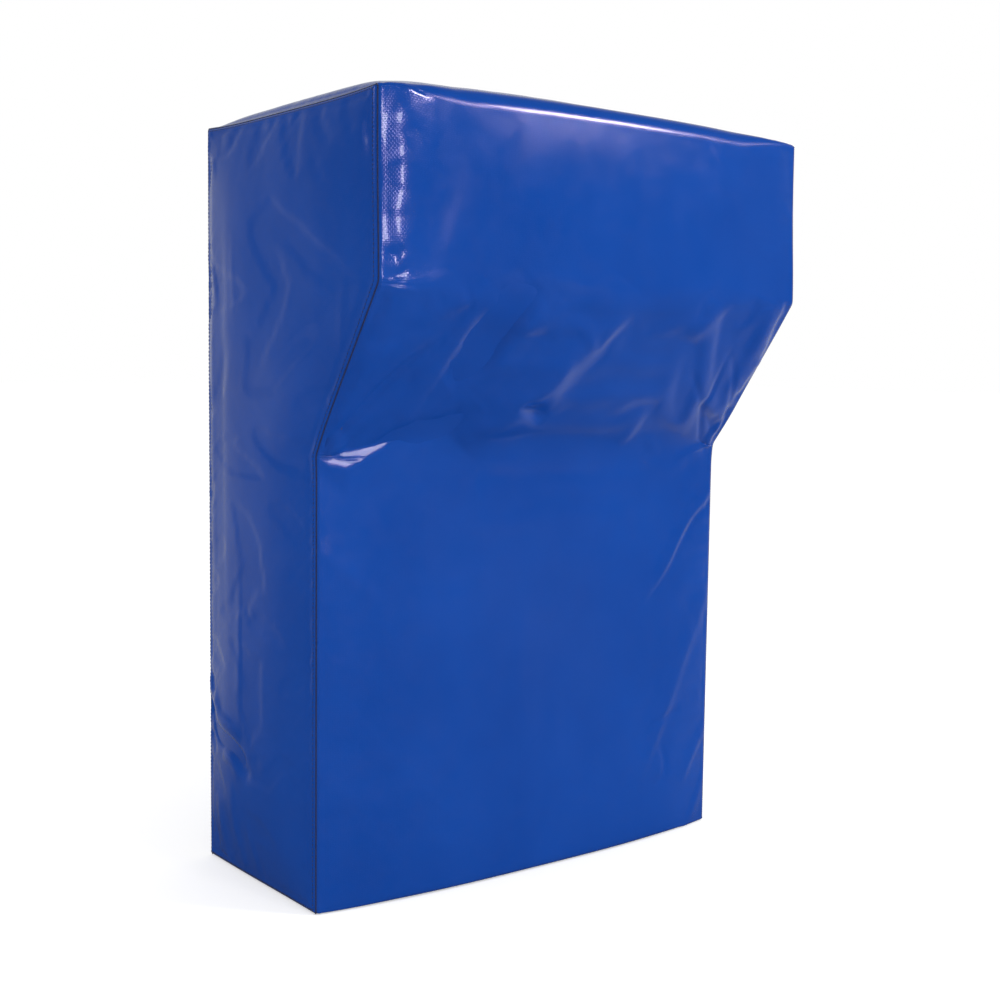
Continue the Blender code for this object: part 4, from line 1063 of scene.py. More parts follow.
def simulated(label, points, normals, hold, slack, pressure, caps, cyclic=False):
    """How far each point of a grid moves along its outward normal once the cloth has settled.

    caps are the most that it may sink and rise. A cyclic grid's last column is its first.
    """
    rows, columns = points.shape[:2]
    faces = grid_faces(rows, columns)
    if cyclic:
        last = columns - 1
        faces = [tuple(v - last if v % columns == last else v for v in face) for face in faces]
    if (grid_normals(points) * normals).sum() > 0:
        faces = [face[::-1] for face in faces]
    cloth_piece = linked(label, new_mesh(label, points.reshape(-1, 3).tolist(), faces))
    group = cloth_piece.vertex_groups.new(name="hold")
    for level in np.unique(np.round(hold, 2)):
        members = np.flatnonzero(np.isclose(np.round(hold, 2).ravel(), level))
        group.add(members.tolist(), float(level), "REPLACE")
    change = cloth_piece.modifiers.new("cloth", "CLOTH")
    settings = change.settings
    for key, value in CLOTH_SETTINGS.items():
        setattr(settings, key, value)
    settings.vertex_group_mass = "hold"
    settings.shrink_min = -slack
    settings.uniform_pressure_force = pressure
    settings.effector_weights.gravity = 0
    change.collision_settings.use_collision = False
    for number in range(1, CLOTH_FRAMES + 1):
        scene.frame_set(number)
    graph = bpy.context.evaluated_depsgraph_get()
    moved = vertex_places(cloth_piece.evaluated_get(graph).data)
    bpy.data.objects.remove(cloth_piece)
    scene.frame_set(1)
    off = np.einsum("ijk,ijk->ij", moved.reshape(points.shape) - points, normals)
    reach = np.percentile(np.abs(off), (50, 95, 100)) * 1000
    print(label, "moved by", [round(float(value), 2) for value in reach], "mm (half, most and all of it)")
    cap = np.where(off < 0, *caps)
    off = np.tanh(off / cap) * cap
    if cyclic:
        off[:, -1] = off[:, 0]
    return off


def finer(field, rows, columns):
    """A coarse grid of vectors spread over a fine one, smoothly along both directions."""
    for axis, count in ((0, rows), (1, columns)):
        field = np.moveaxis(field, axis, 0)
        place = np.linspace(0, len(field) - 1, count)
        low = np.clip(np.floor(place).astype(int), 0, len(field) - 2)
        t = (place - low).reshape((-1,) + (1,) * (field.ndim - 1))
        before, after = field[np.maximum(low - 1, 0)], field[np.minimum(low + 2, len(field) - 1)]
        field = np.moveaxis(curve_point(before, field[low], field[low + 1], after, t), 0, axis)
    return field


# The cloth is this much too large, is pressed out this hard, is held loosely away from its seams, and may
# sink this far
SLACK, PRESSURE, HOLD, COVER_SINK = 0.008, 0.3, 0.12, 0.0005


def settled_cloth(label, face, outward, from_seam, seam_zone, rise):
    """Runs a panel's every second point as cloth, and spreads its movement over the whole face."""
    coarse = face[::2, ::2]
    hold = np.where(from_seam < seam_zone, 1.0, HOLD)
    off = simulated(label, coarse, grid_normals(coarse, outward), hold, SLACK, PRESSURE, (COVER_SINK, rise))
    return finer(off, *face.shape[:2])


print("cloth helper ready")

# %% [markdown]
# ## Front panel
# One piece of vinyl is the striking face and runs back over the top, so the top front edge has no seam.
# The folds start at the two ends of the crease under the head, where the cover turns inwards.

# %% Front panel
FORWARD, FRONT_TOP = (0, -1, 0), 0.2926
# Steps of the grid across the flat part, round each roll and along, and the share of the last rounding
# that the panel takes
FRONT_ACROSS, FRONT_ALONG, BASE_SHARE = (188, 6), 416, 0.9
# How near to a seam the cloth is held, and how near the folds are held down
FRONT_HELD, FRONT_CALM = 0.004, 0.005
# How far the cloth may rise, and the share of its unevenness that is left above and below the slope
FRONT_RISE, CALM_LEVEL = 0.0022, 0.2
# Where the cloth is calm, down from the top front edge, and how gradually it gets so there and at the base
CALM_ABOVE, CALM_BELOW, CALM_FADE, BASE_FADE = 0.12, 0.36, 0.06, 0.07
# Slow unevenness: size, amount and seed. Puckers at the left, right, back and base borders
FRONT_RIPPLES = ((0.075, 0.0011, 3.3), (0.03, 0.0002, 7.1))
FRONT_PUCKERS = (0.00014, 0.0006, 0.0003, 0.0001)
# Each fold: points (across, down from the top front edge), width and height, and then, where they aren't
# 0, lean, level at start and level at end
FRONT_FOLDS = (
    (((-239, 262), (-227, 237), (-210, 215), (-185, 193), (-163, 166), (-138, 142)), 18, 4.6, 0, 0.8),
    (((-234, 288), (-214, 262), (-192, 230), (-174, 204)), 5, -2.4, 0, 0.8),
    (((-79, 145), (-97, 171), (-109, 200), (-114, 220), (-138, 247)), 18, -5.6, 0.56),
    (((-60, 150), (-78, 176), (-90, 206), (-96, 226), (-112, 250)), 15, 2.6, -0.35),
    (((-100, 264), (-120, 289), (-165, 301), (-212, 318)), 13, -5.2, 0, 0, 0.5),
    (((-238, 342), (-227, 350), (-214, 353)), 5, 1.8, 0, 0.9),
    (((-236, 335), (-225, 341), (-212, 344)), 4, -1.4, 0, 0.9),
    (((-234, 318), (-217, 299), (-202, 281)), 4, -1.7, 0, 1.0),
    (((-238, 298), (-227, 284), (-218, 268)), 4, -1.2, 0, 1.0),
    (((-90, 318), (-62, 280), (-42, 250), (-28, 226), (-8, 196), (4, 166), (18, 138)), 26, 7.4),
    (((-54, 262), (-35, 270), (-14, 280)), 7, -4.5),
    (((-72, 318), (-78, 350), (-80, 385)), 14, 2.0, 0.2, 0.4),
    (((182, 206), (187, 250), (185, 267), (215, 300), (240, 322)), 3.5, -1.3, 0, 0, 0.7),
    (((145, 228), (167, 252), (185, 267)), 3.5, -1.1, 0, 0, 0.4),
    (((184, 208), (203, 226), (220, 252), (239, 289)), 3.5, -1.2, 0, 0.3, 0.8),
    (((185, 267), (210, 279), (232, 294)), 3, -1.0, 0, 0.3, 0.8),
    (((122, 196), (134, 150)), 12, 1.8),
    (((200, 160), (214, 190), (226, 215)), 12, 1.8),
    (((238, 325), (215, 338), (180, 342), (130, 335)), 14, 2.2, 0.2, 0.8),
    (((236, 391), (226, 396), (197, 413), (167, 445), (125, 479)), 7, 2.0, 0.45, 1.0),
    (((236, 400), (215, 410), (192, 430)), 4, -1.0, 0, 0.9),
    (((234, 492), (202, 540), (167, 594), (145, 631), (117, 667)), 12, 1.9, 0.3, 0.8),
    (((197, 596), (170, 599), (145, 609), (132, 633)), 5, -1.2),
    (((162, 623), (172, 645), (168, 662), (150, 667)), 5, -1.2),
    (((238, 626), (215, 650), (200, 673)), 6, 1.5, 0.3, 0.9),
    (((238, 676), (222, 700), (206, 722)), 6, 1.5, -0.3, 0.9, 0.6),
    (((-238, 168), (-225, 166), (-205, 160)), 6, 1.3, 0, 0.8),
    (((-238, 208), (-224, 206), (-204, 200)), 6, -0.9, 0, 0.8),
    (((-222, 134), (-80, 147), (60, 158), (150, 165)), 16, -0.8),
    (((-238, 420), (-215, 432), (-180, 452)), 9, 0.9, 0, 0.8),
    (((-238, 600), (-210, 622), (-170, 640)), 11, 0.8, 0, 0.8),
    (((238, 60), (215, 78), (185, 90)), 8, 0.9, 0, 0.8),
    (((-217, 28), (-217, 50), (-219, 78), (-221, 104)), 18, 3.1, -0.3, 0.7, 0.6),
    (((-209, 118), (-208, 140)), 14, -0.8, 0, 0.5, 0.4),
    (((-206, 4), (-208, 12)), 15, -1.6, 0, 0.8, 0.2),
    (((-238, 38), (-224, 40), (-212, 46)), 4, 0.4, 0, 0.5),
    (((-238, 74), (-224, 78), (-214, 84)), 4, -0.35, 0, 0.5),
    (((-238, 90), (-226, 91), (-216, 95)), 3, 0.3, 0, 0.5),
    (((-239, 60), (-222, 57), (-210, 52)), 3, -0.5, 0, 0.9),
    (((-236, 116), (-226, 119), (-216, 115)), 3, -1.0, 0, 0.5),
    (((-236, 128), (-226, 133), (-215, 127)), 3, -1.0, 0, 0.5),
)

# The bulge under the crease at the left seam: for each of its flanks a point and the way it faces
CORNER_BULGE = (
    ((-0.2345, -0.1015, 0.4), (-0.19, -1.0, 0.14)),
    ((-0.19, -0.101, 0.354), (0.0, -1.0, -0.18)),
    ((-0.05, -0.101, 0.4), (0.14, -1.0, 0.0)),
    ((-0.2345, -0.1025, 0.4), (-0.3, -1.0, -0.18)),
)
BULGE_BLEND, BULGE_FROM, BULGE_TO = 0.0012, 0.2, 0.42
BULGE_DENTS = (
    (((-226, 330), (-213, 325), (-198, 318)), 3.5, -0.6),
    (((-190, 322), (-180, 312), (-172, 302)), 3, 0.3),
)


def soft_least(first, second, blend):
    """The smaller of two values, with a rounded change-over."""
    return np.minimum(first, second) - np.clip(blend - np.abs(first - second), 0, None) ** 2 / (4 * blend)


def with_bulge(height, face, normals, down):
    """The folds' height, raised to the flanks of the bulge where they lie further out."""
    rise = 1.0
    for point, facing in CORNER_BULGE:
        rise = soft_least(rise, ((np.array(point) - face) @ facing) / (normals @ facing), BULGE_BLEND)
    raised = -soft_least(-rise, -height, BULGE_BLEND)
    return np.where((down > BULGE_FROM) & (down < BULGE_TO), raised, height)


def front_panel():
    """Striking face and top, with its folds."""
    along = stations_along("top_back", "base_front", FRONT_ALONG, closing=BASE_SHARE)
    face, flat = wrapped_grid(stations_across(*FRONT_ACROSS), along)
    placed = flat - np.array((0, FRONT_TOP))
    normals = grid_normals(face, FORWARD)
    from_seam = np.minimum.reduce(border_distances(flat[::2, ::2]))
    movement = settled_cloth("front_cloth", face, FORWARD, from_seam, FRONT_HELD, FRONT_RISE)
    down = placed[..., 1]
    calm = eased((down - CALM_ABOVE) / CALM_FADE) * eased((CALM_BELOW - down) / CALM_FADE)
    calm = CALM_LEVEL + (1 - CALM_LEVEL) * calm
    calm *= eased(border_distances(flat)[3] / BASE_FADE)
    base = face + normals * (movement * calm)[..., None]
    height = with_bulge(all_folds(placed, FRONT_FOLDS), base, normals, down)
    height += all_folds(placed, BULGE_DENTS)
    height += sum(ripples(placed, *row) for row in FRONT_RIPPLES) * calm
    edge = np.minimum.reduce(border_distances(flat))
    height *= 1 - bell(edge, FRONT_CALM)
    height += seam_dress(flat, 1.0, FRONT_PUCKERS)
    dressed = base + normals * height[..., None]
    made = panel("front_panel", dressed, placed, FORWARD, base)
    finished(made, "shield", "blue_vinyl", "front_wrap_panel", fill=0.9)
    return dressed


FRONT_FACE = front_panel()

# %% [markdown]
# ## Side, base and back panels
# The left side is the one the camera sees. It has a knot of folds low down beside the back seam, faint
# upright creases where the cover was folded in its packing, and puckers along the base seam.

# %% Side panels
# Beside a seam the folds, and the cloth too, are held down over this distance
EDGE_CALM = 0.006
# Steps of the grid from front to back and upwards
SIDE_STEPS = (80, 280)
# Each fold as on the front, with points (depth, height) in millimetres from the middle of the base
SIDE_FOLDS = {
    "left": (
        (((98, 186), (88, 176), (78, 158)), 4, -2.2, 0.2, 0.8),
        (((99, 174), (84, 164), (66, 148), (38, 142), (18, 135)), 10, 3.6, 0.3, 0.8),
        (((101, 156), (86, 146), (70, 128), (38, 123), (21, 116), (9, 103)), 7, -6.2, 0, 0.8, 0.3),
        (((99, 130), (86, 118), (78, 107)), 4, -1.8, 0, 0.8),
        (((60, 112), (36, 108), (22, 96)), 6, 1.6),
        (((40, 90), (34, 50), (24, 12)), 7, 1.0, 0.3, 0, 0.8),
        (((12, 60), (4, 34), (-8, 8)), 7, 0.8, 0.3, 0, 0.8),
        (((72, 70), (64, 40), (58, 8)), 8, 1.2, 0, 0, 0.8),
        (((98, 590), (88, 575), (76, 552), (72, 520)), 5, 0.9, 0.5, 0.9),
        (((21, 300), (20, 230), (21, 140)), 5, 0.7, 0.6),
        (((84, 560), (82, 330), (84, 190)), 8, 0.7, 0.3),
        (((58, 640), (60, 420), (55, 200)), 10, -0.6, 0.2),
        (((30, 600), (31, 560), (30, 520)), 3, 0.4, 0.6),
        (((-158, 560), (-152, 528), (-146, 490)), 4, 0.7, 0.6),
        (((97, 680), (84, 668), (76, 650)), 5, 0.8, 0, 0.9),
        (((-96, 404), (-60, 396), (-20, 400)), 10, -0.7, 0, 0.8),
    ),
    "right": (
        (((98, 300), (84, 288), (66, 262), (58, 236)), 7, -2.0, 0.2, 0.8),
        (((98, 276), (80, 262), (60, 232)), 8, 1.7, 0.3, 0.8),
        (((-98, 404), (-60, 392), (-20, 398)), 9, -1.2, 0, 0.9),
        (((-98, 392), (-64, 376), (-30, 352)), 9, 1.5, 0.2, 0.8),
        (((-120, 440), (-88, 462), (-48, 474)), 10, 1.2, 0, 0.7),
        (((30, 120), (24, 60), (14, 10)), 8, 1.2, 0.3, 0, 0.8),
        (((-60, 90), (-50, 50), (-46, 10)), 8, 1.0, 0, 0, 0.8),
        (((60, 620), (62, 460), (58, 320)), 12, 0.8, 0.2),
        (((-100, 640), (-98, 560), (-92, 480)), 12, 0.8, 0.2),
    ),
}
# How far the cloth may rise. Then the puckers' reach and height, and what they lose of it above a height
SIDE_RISE = {"left": 0.00012, "right": 0.0009}
SIDE_REACH, SIDE_PUCKER, PUCKER_LOSS, LOSS_HEIGHT = 0.016, 0.0004, 0.00022, 0.6
# Slow unevenness: size, amount, and what is added to the side's seed
SIDE_RIPPLES = ((0.09, 0.0008, 0), (0.026, 0.00012, 4))


def side_panel(label, side, seed):
    """One side of the cover, with its folds."""
    face, flat, depth = side_grid(side, *SIDE_STEPS)
    outward = (side, 0, 0)
    normals = grid_normals(face, outward)
    from_seam = depth[::2, ::2]
    movement = settled_cloth(label + "_cloth", face, outward, from_seam, EDGE_CALM, SIDE_RISE[label])
    base = face + normals * movement[..., None]
    height = all_folds(flat, SIDE_FOLDS[label])
    height += sum(ripples(flat, size, amount, seed + more) for size, amount, more in SIDE_RIPPLES)
    edge = depth - SEAM_INSET
    height *= 1 - bell(edge, EDGE_CALM)
    height += seam_groove(edge)
    pucker = SIDE_PUCKER - PUCKER_LOSS * eased((flat[..., 1] - LOSS_HEIGHT) / 0.06)
    height += puckers(flat[..., 0] + flat[..., 1], edge, SIDE_REACH, pucker, seed)
    dressed = base + normals * height[..., None]
    made = panel(label + "_side", dressed, flat, outward, base)
    finished(made, "shield", "blue_vinyl", label + "_side_panel", fill=0.9)
    return dressed


LEFT_FACE = side_panel("left", -1, 5.2)
RIGHT_FACE = side_panel("right", 1, 9.4)

# %% Base and back panels
ZIP_Z, ZIP_SLOT = 0.058, 0.012
BACK_RUN = SECTIONS.index("back")
BACK_FOLDS = (
    (((-236, 80), (-212, 96), (-180, 108)), 9, 1.1, 0, 0.8),
    (((236, 130), (210, 140), (182, 160)), 9, 1.1, 0, 0.8),
    (((-236, 520), (-205, 536), (-170, 540)), 10, 1.0, 0.2, 0.8),
    (((236, 470), (205, 482), (176, 500)), 10, 1.0, 0.2, 0.8),
    (((-20, 120), (10, 240), (0, 420)), 20, -0.9),
    (((10, 560), (40, 500), (30, 400)), 18, 0.8),
)


def back_share(z):
    """Where a height falls on the back's straight run."""
    arcs = outline_arcs(0)
    low, high = outline_point(arcs, BACK_RUN, 0)[1], outline_point(arcs, BACK_RUN, 1)[1]
    return (z - low) / (high - low)


# The cloth stays this far above the floor, and the hems along the zip are this deep
REST_GAP, HEM = 0.0001, (0.0006, 0.0012)
# Steps across the flat part and round each roll, and the puckers' height at the four borders
PLAIN_ACROSS, PLAIN_PUCKERS = (152, 4), (0.0003,) * 4


def plain_panel(name, along, outward, node, folds, seed, fill, lip=LIP_DEPTHS):
    """A base or back panel: flat cloth with seam puckers and a few shallow folds."""
    face, flat = wrapped_grid(stations_across(*PLAIN_ACROSS), along)
    normals = grid_normals(face, outward)
    height = ripples(flat, 0.08, 0.0007, seed)
    for row in folds:
        height = height + fold(flat, *row)
    edge = np.minimum.reduce(border_distances(flat))
    height *= 1 - bell(edge, EDGE_CALM)
    height += seam_dress(flat, seed, PLAIN_PUCKERS)
    dressed = face + normals * height[..., None]
    dressed[..., 2] = np.maximum(dressed[..., 2], REST_GAP)
    made = panel(name, dressed, flat, outward, face, lip)
    return finished(made, "shield", "blue_vinyl", node, fill=fill)


base_along = stations_along("base_front", "base_back", 64, opening=BASE_SHARE)
plain_panel("base", base_along, (0, 0, -1), "base_panel", (), 2.2, 0.8)
lower_along = stations_along("base_back", "back", 24, closing=back_share(ZIP_Z - ZIP_SLOT / 2))
plain_panel("back_lower", lower_along, (0, 1, 0), "back_panel_lower", (), 4.6, 0.8, HEM)
upper_along = stations_along("back", "top_back", 208, opening=back_share(ZIP_Z + ZIP_SLOT / 2))
back_upper = plain_panel("back_upper", upper_along, (0, 1, 0), "back_panel_upper", BACK_FOLDS, 6.8, 0.85, HEM)

# %% [markdown]
# ## Stitches
# A lockstitch shows as a row of short threads, each a little proud of the cloth. Between the two panels
# of a side seam lies a dark cord. It is partly the thread that draws them together and partly painted shade:
# a continuous dark line that stands in for the shade in the seam's groove. There are over four thousand
# stitches, so Geometry Nodes lay them: a line of edges becomes a curve, the curve is cut into equal
# steps, and a slim thread is set on every step, turned along the line.

# %% Stitch tree
def socket_id(tree, label):
    """The identifier that a modifier knows a group's input by."""
    found = [item for item in tree.interface.items_tree if item.name == label and item.in_out == "INPUT"]
    return found[0].identifier


def instance_tree(name, sizes, shape):
    """A tree that sets one small shape on every step of a line. shape(tree, given) makes the shape."""
    tree = bpy.data.node_groups.new(name, "GeometryNodeTree")
    inputs = [("Geometry", "Geometry"), ("Pitch", "Float"), *((size, "Float") for size in sizes)]
    for label, kind in (*inputs, ("Material", "Material")):
        tree.interface.new_socket(label, in_out="INPUT", socket_type="NodeSocket" + kind)
    tree.interface.new_socket("Geometry", in_out="OUTPUT", socket_type="NodeSocketGeometry")
    given, out = tree.nodes.new("NodeGroupInput").outputs, tree.nodes.new("NodeGroupOutput").inputs
    line = put(tree, "GeometryNodeMeshToCurve", {"Mesh": given["Geometry"]}).outputs[0]
    steps = put(tree, "GeometryNodeResampleCurve", {"Curve": line, "Length": given["Pitch"]}, mode="LENGTH")
    tangent = put(tree, "GeometryNodeInputTangent").outputs[0]
    turn = put(tree, "FunctionNodeAlignRotationToVector", {"Vector": tangent}, axis="X").outputs[0]
    placed = put(
        tree,
        "GeometryNodeInstanceOnPoints",
        {"Points": steps.outputs[0], "Instance": shape(tree, given), "Rotation": turn},
    )
    real = put(tree, "GeometryNodeRealizeInstances", {"Geometry": placed.outputs[0]}).outputs[0]
    smooth = put(tree, "GeometryNodeSetShadeSmooth", {"Geometry": real}).outputs[0]
    done = put(tree, "GeometryNodeSetMaterial", {"Geometry": smooth, "Material": given["Material"]})
    tree.links.new(done.outputs[0], out["Geometry"])
    return tree


def stitch_shape(tree, given):
    """One thread of a stitch, a stretched bead."""
    bead = put(tree, "GeometryNodeMeshUVSphere", {"Segments": 6, "Rings": 5, "Radius": 1.0}).outputs[0]
    half, thick = (maths(tree, "MULTIPLY", given[label], 0.5) for label in ("Length", "Thickness"))
    size = put(tree, "ShaderNodeCombineXYZ", {"X": half, "Y": thick, "Z": thick}).outputs[0]
    return put(tree, "GeometryNodeTransform", {"Geometry": bead, "Scale": size}).outputs[0]


def along_lines(name, lines, tree, values, material):
    """Runs a tree over some lines of points and gives back the result as a plain piece."""
    verts, edges = [], []
    for line in lines:
        start = len(verts)
        verts += [tuple(point) for point in line]
        edges += [(start + k, start + k + 1) for k in range(len(line) - 1)]
    guide = linked(name + "_line", new_mesh(name + "_line", verts, edges=edges))
    change = guide.modifiers.new("lay", "NODES")
    change.node_group = tree
    for label, value in {**values, "Material": material}.items():
        change[socket_id(tree, label)] = value
    made = evaluated_mesh(guide)
    bpy.data.objects.remove(guide)
    made.name = name
    return add_piece(name, made, material)


STITCHES = instance_tree("stitch row", ("Length", "Thickness"), stitch_shape)


def stitch_row(name, lines, pitch, length, thickness, thread, body, slot):
    """Stitches along some lines, as one finished piece."""
    sizes = {"Pitch": pitch, "Length": length, "Thickness": thickness}
    finished(along_lines(name, lines, STITCHES, sizes, thread), body, slot)


print("stitch tree ready")

# %% Seam stitches
# Pitch, length and thickness of the stitches, and of the dark cord in the seam, which is thread and painted
# shade
SEAM_STITCH, SEAM_SHADE_CORD = (0.0036, 0.0027, 0.0008), (0.0026, 0.005, 0.0014)
# How deep each lies in the cloth, and how far both stay above the floor
STITCH_SINK, SHADE_CORD_SINK, THREAD_GAP = 0.00005, 0.00025, 0.0009


def side_seam_line(face, side, step, sink):
    """A closed line on a side panel, some grid steps inside its border and a little sunk."""
    sunk = face - grid_normals(face, (side, 0, 0)) * sink
    inner = sunk[step : len(sunk) - step, step : sunk.shape[1] - step]
    inner[..., 2] = np.maximum(inner[..., 2], THREAD_GAP)
    line = [inner[i, j] for i, j in border(*inner.shape[:2])]
    return [*line, line[0]]


SEAM_THREAD = (COVER_THREAD, "shield", "binding")
for label, face, side in (("left", LEFT_FACE, -1), ("right", RIGHT_FACE, 1)):
    line = side_seam_line(face, side, 2, STITCH_SINK)
    stitch_row(label + "_seam_stitches", [line], *SEAM_STITCH, *SEAM_THREAD)
    # The dark cord on the border, sunk into the gap: thread, and painted shade for the seam's groove
    line = side_seam_line(face, side, 0, SHADE_CORD_SINK)
    stitch_row(label + "_seam_thread_and_shade", [line], *SEAM_SHADE_CORD, *SEAM_THREAD)
stitch_row("top_seam_stitches", [FRONT_FACE[4:-4, 1]], *SEAM_STITCH, *SEAM_THREAD)

# %% [markdown]
# ## Parts kept from the CAD model, softened
# The slider, the pull, the stops and the patches have the right shape already, but their edges are knife
# sharp. Real die-cast and cut edges catch a thin line of light. So each is copied, its triangles are
# merged back into flat faces, and a small bevel goes round the edges.

# %% Softened copies
def softened(label, node, radius, segments, material, body, slot):
    """A copy of a CAD node with its edges rounded."""
    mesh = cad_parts[node].data.copy()
    mesh.name = label
    tidied(mesh, merge=True, flatten=True)
    piece = add_piece(label, mesh, material, smooth=False)
    bevel = piece.modifiers.new("bevel", "BEVEL")
    bevel.width, bevel.segments, bevel.limit_method = radius, segments, "ANGLE"
    bake(piece)
    piece.data.shade_smooth()
    write_uv(piece.data, vertex_places(piece.data)[:, (0, 2)])
    finished(piece, body, slot, node)


SOFT_EDGE = (0.0004, 3)
softened("slider", "zip_slider", 0.00025, 3, ZIP_METAL, "slider", "zip_metal")
softened("slider_underside", "zip_slider_base", 0.0002, 2, ZIP_METAL, "slider", "zip_metal")
softened("pull", "zip_pull", 0.0003, 3, ZIP_METAL, "pull", "zip_metal")
for side in ("left", "right"):
    softened("stop_" + side, "zip_stop_" + side, *SOFT_EDGE, ZIP_METAL, "shield", "zip_metal")
    softened("end_tab_" + side, "zip_end_tab_" + side, *SOFT_EDGE, BLUE_VINYL, "shield", "blue_vinyl")
for strap in ("arm", "grip"):
    for end in ("upper", "lower"):
        node = strap + "_strap_patch_" + end
        softened(strap + "_patch_" + end, node, *SOFT_EDGE, DARK_VINYL, "shield", "dark_vinyl")

# %% Kept nodes
for node in ("zip_tape_upper", "zip_tape_lower"):
    painted(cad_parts[node].data, ZIP_TAPE)
print("tapes keep their shapes")

# %% [markdown]
# The binding tape inside each side seam is right too, but the cover sags along its top, so the tape
# is copied and sags with it.

# %% Binding
for side in ("left", "right"):
    node = "seam_binding_" + side
    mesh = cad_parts[node].data.copy()
    mesh.vertices.foreach_set("co", settled(vertex_places(mesh)).ravel())
    mesh.name = "binding_" + side
    finished(add_piece(mesh.name, mesh, BINDING), "shield", "binding", node)

# %% [markdown]
# ## Zip coil
# A nylon coil zip has two spirals, one sewn to each tape, whose loops slip between each other. A loop is
# an oval ring, set every 1.6 mm on both rows, half a step apart. Two sewn lines hold the spirals down.

# %% Coil
ZIP_HALF, COIL_Y, TAPE_FACE_Y = 0.1903, 0.1009, 0.0996
COIL = {"Pitch": 0.0016, "Rise": 0.00078, "Reach": 0.00125, "Wire": 0.00034}
# How far the first loop is from the end, and how far the two rows reach over the middle
COIL_START, COIL_OVERLAP = 0.0008, 0.0001
TAPE_STITCH, TAPE_STITCH_REACH = (0.0024, 0.0018, 0.0005), 0.0031


def coil_shape(tree, given):
    """One loop of the coil, as an oval ring that stands across the zip."""
    ring, wire = (
        put(tree, "GeometryNodeCurvePrimitiveCircle", inputs, mode="RADIUS").outputs[0]
        for inputs in ({"Resolution": 10, "Radius": 1.0}, {"Resolution": 5, "Radius": given["Wire"]})
    )
    upright = {"Geometry": ring, "Rotation": (0, math.pi / 2, 0)}
    turned = put(tree, "GeometryNodeTransform", upright).outputs[0]
    size = put(tree, "ShaderNodeCombineXYZ", {"X": 1.0, "Y": given["Rise"], "Z": given["Reach"]}).outputs[0]
    oval = put(tree, "GeometryNodeTransform", {"Geometry": turned, "Scale": size}).outputs[0]
    return put(tree, "GeometryNodeCurveToMesh", {"Curve": oval, "Profile Curve": wire}).outputs[0]


COIL_TREE = instance_tree("zip coil", ("Rise", "Reach", "Wire"), coil_shape)
for label, side, shift in (("upper", 1, 0.0), ("lower", -1, COIL["Pitch"] / 2)):
    z = ZIP_Z + side * (COIL["Reach"] - COIL_OVERLAP)
    steps = int((2 * ZIP_HALF - 0.001) / COIL["Pitch"])
    row = [(-ZIP_HALF + COIL_START + shift + k * COIL["Pitch"], COIL_Y, z) for k in range(steps)]
    made = along_lines("coil_" + label, [row], COIL_TREE, COIL, COIL_NYLON)
    finished(made, "shield", "zip_coil", "zip_coil_" + label)
heights = (ZIP_Z - TAPE_STITCH_REACH, ZIP_Z + TAPE_STITCH_REACH)
lines = [[(x, TAPE_FACE_Y, z) for x in (-ZIP_HALF, ZIP_HALF)] for z in heights]
stitch_row("tape_stitches", lines, *TAPE_STITCH, STRAP_THREAD, "shield", "zip_tape")

# %% [markdown]
# ## Vent eyelets
# Each brass eyelet is one pressing: a domed flange outside, a barrel, and a rim rolled over inside. Its
# section is turned round an axis. The hole in the cover is cut with a Boolean, so one can look through.

# %% Eyelets
EYELET_STEPS = 56
# Section of the eyelet: distance from its axis, and height over the back, in millimetres
EYELET_SECTION = (
    *((4.5, -2.0), (4.5, 0.55), (4.62, 0.85), (4.9, 1.08), (5.4, 1.2), (6.4, 1.22)),
    *((7.5, 1.1), (8.4, 0.8), (8.85, 0.52), (9.0, 0.32), (8.9, 0.24), (5.2, 0.24)),
    *((5.2, -1.5), (6.6, -1.5), (7.0, -1.7), (7.0, -1.95), (6.6, -2.12), (5.2, -2.12)),
)
# Section of the tool that cuts the hole, which is a little wider than the barrel
HOLE_SECTION = ((0.01, -12), (5.25, -12), (5.25, 12), (0.01, 12))


def lathed(label, section, x, z, material):
    """Turns a closed section round an axis that runs back through x and z."""
    angles = [2 * math.pi * step / EYELET_STEPS for step in range(EYELET_STEPS)]
    verts = [
        (x + radius * MM * math.cos(angle), BACK_Y + height * MM, z + radius * MM * math.sin(angle))
        for radius, height in section
        for angle in angles
    ]
    faces = tube_faces(len(section), EYELET_STEPS)
    last = range(len(verts) - EYELET_STEPS, len(verts))
    mesh = new_mesh(label, verts, faces + ring_faces(last, range(EYELET_STEPS)))
    tidied(mesh)
    return add_piece(label, mesh, material)


def cut_hole(piece, x, z):
    """Cuts a round hole through a panel of the back."""
    tool = lathed("hole_tool", HOLE_SECTION, x, z, BLUE_VINYL)
    cut = piece.modifiers.new("hole", "BOOLEAN")
    cut.object, cut.operation, cut.solver = tool, "DIFFERENCE", "EXACT"
    bake(piece)
    bpy.data.objects.remove(tool)


for number in range(1, 5):
    low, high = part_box(f"vent_eyelet_{number}")
    x, z = (low.x + high.x) / 2, (low.z + high.z) / 2
    cut_hole(back_upper, x, z)
    made = lathed(f"eyelet_{number}", EYELET_SECTION, x, z, BRASS)
    finished(made, "shield", "eyelet_brass", f"vent_eyelet_{number}")
print("back panel after the holes", len(back_upper.data.polygons), "faces")

# %% [markdown]
# ## Strap loops
# Each loop is one length of webbing. It lies flat on its patch, bends up, arches over and comes down
# again. The CAD model parts it where it starts to turn; the real webbing only twists there, so here it is
# one piece that follows the shield at its sewn ends and the loop in its middle.

# %% Strap path
SEWN_Y, STRAP_Z = 0.10405, 0.400
WEBBING_THICK, WEBBING_BOW = 0.0025, 0.0012
STRAPS = {
    "arm": {"x": -0.095, "width": 0.050, "half_span": 0.112, "standoff": 0.076, "sewn": 0.048},
    "grip": {"x": 0.115, "width": 0.025, "half_span": 0.078, "standoff": 0.054, "sewn": 0.040},
}
BEND_REACH = 0.0075
TURN_ZONE = {"arm": (0.003, 0.034), "grip": (0.003, 0.026)}


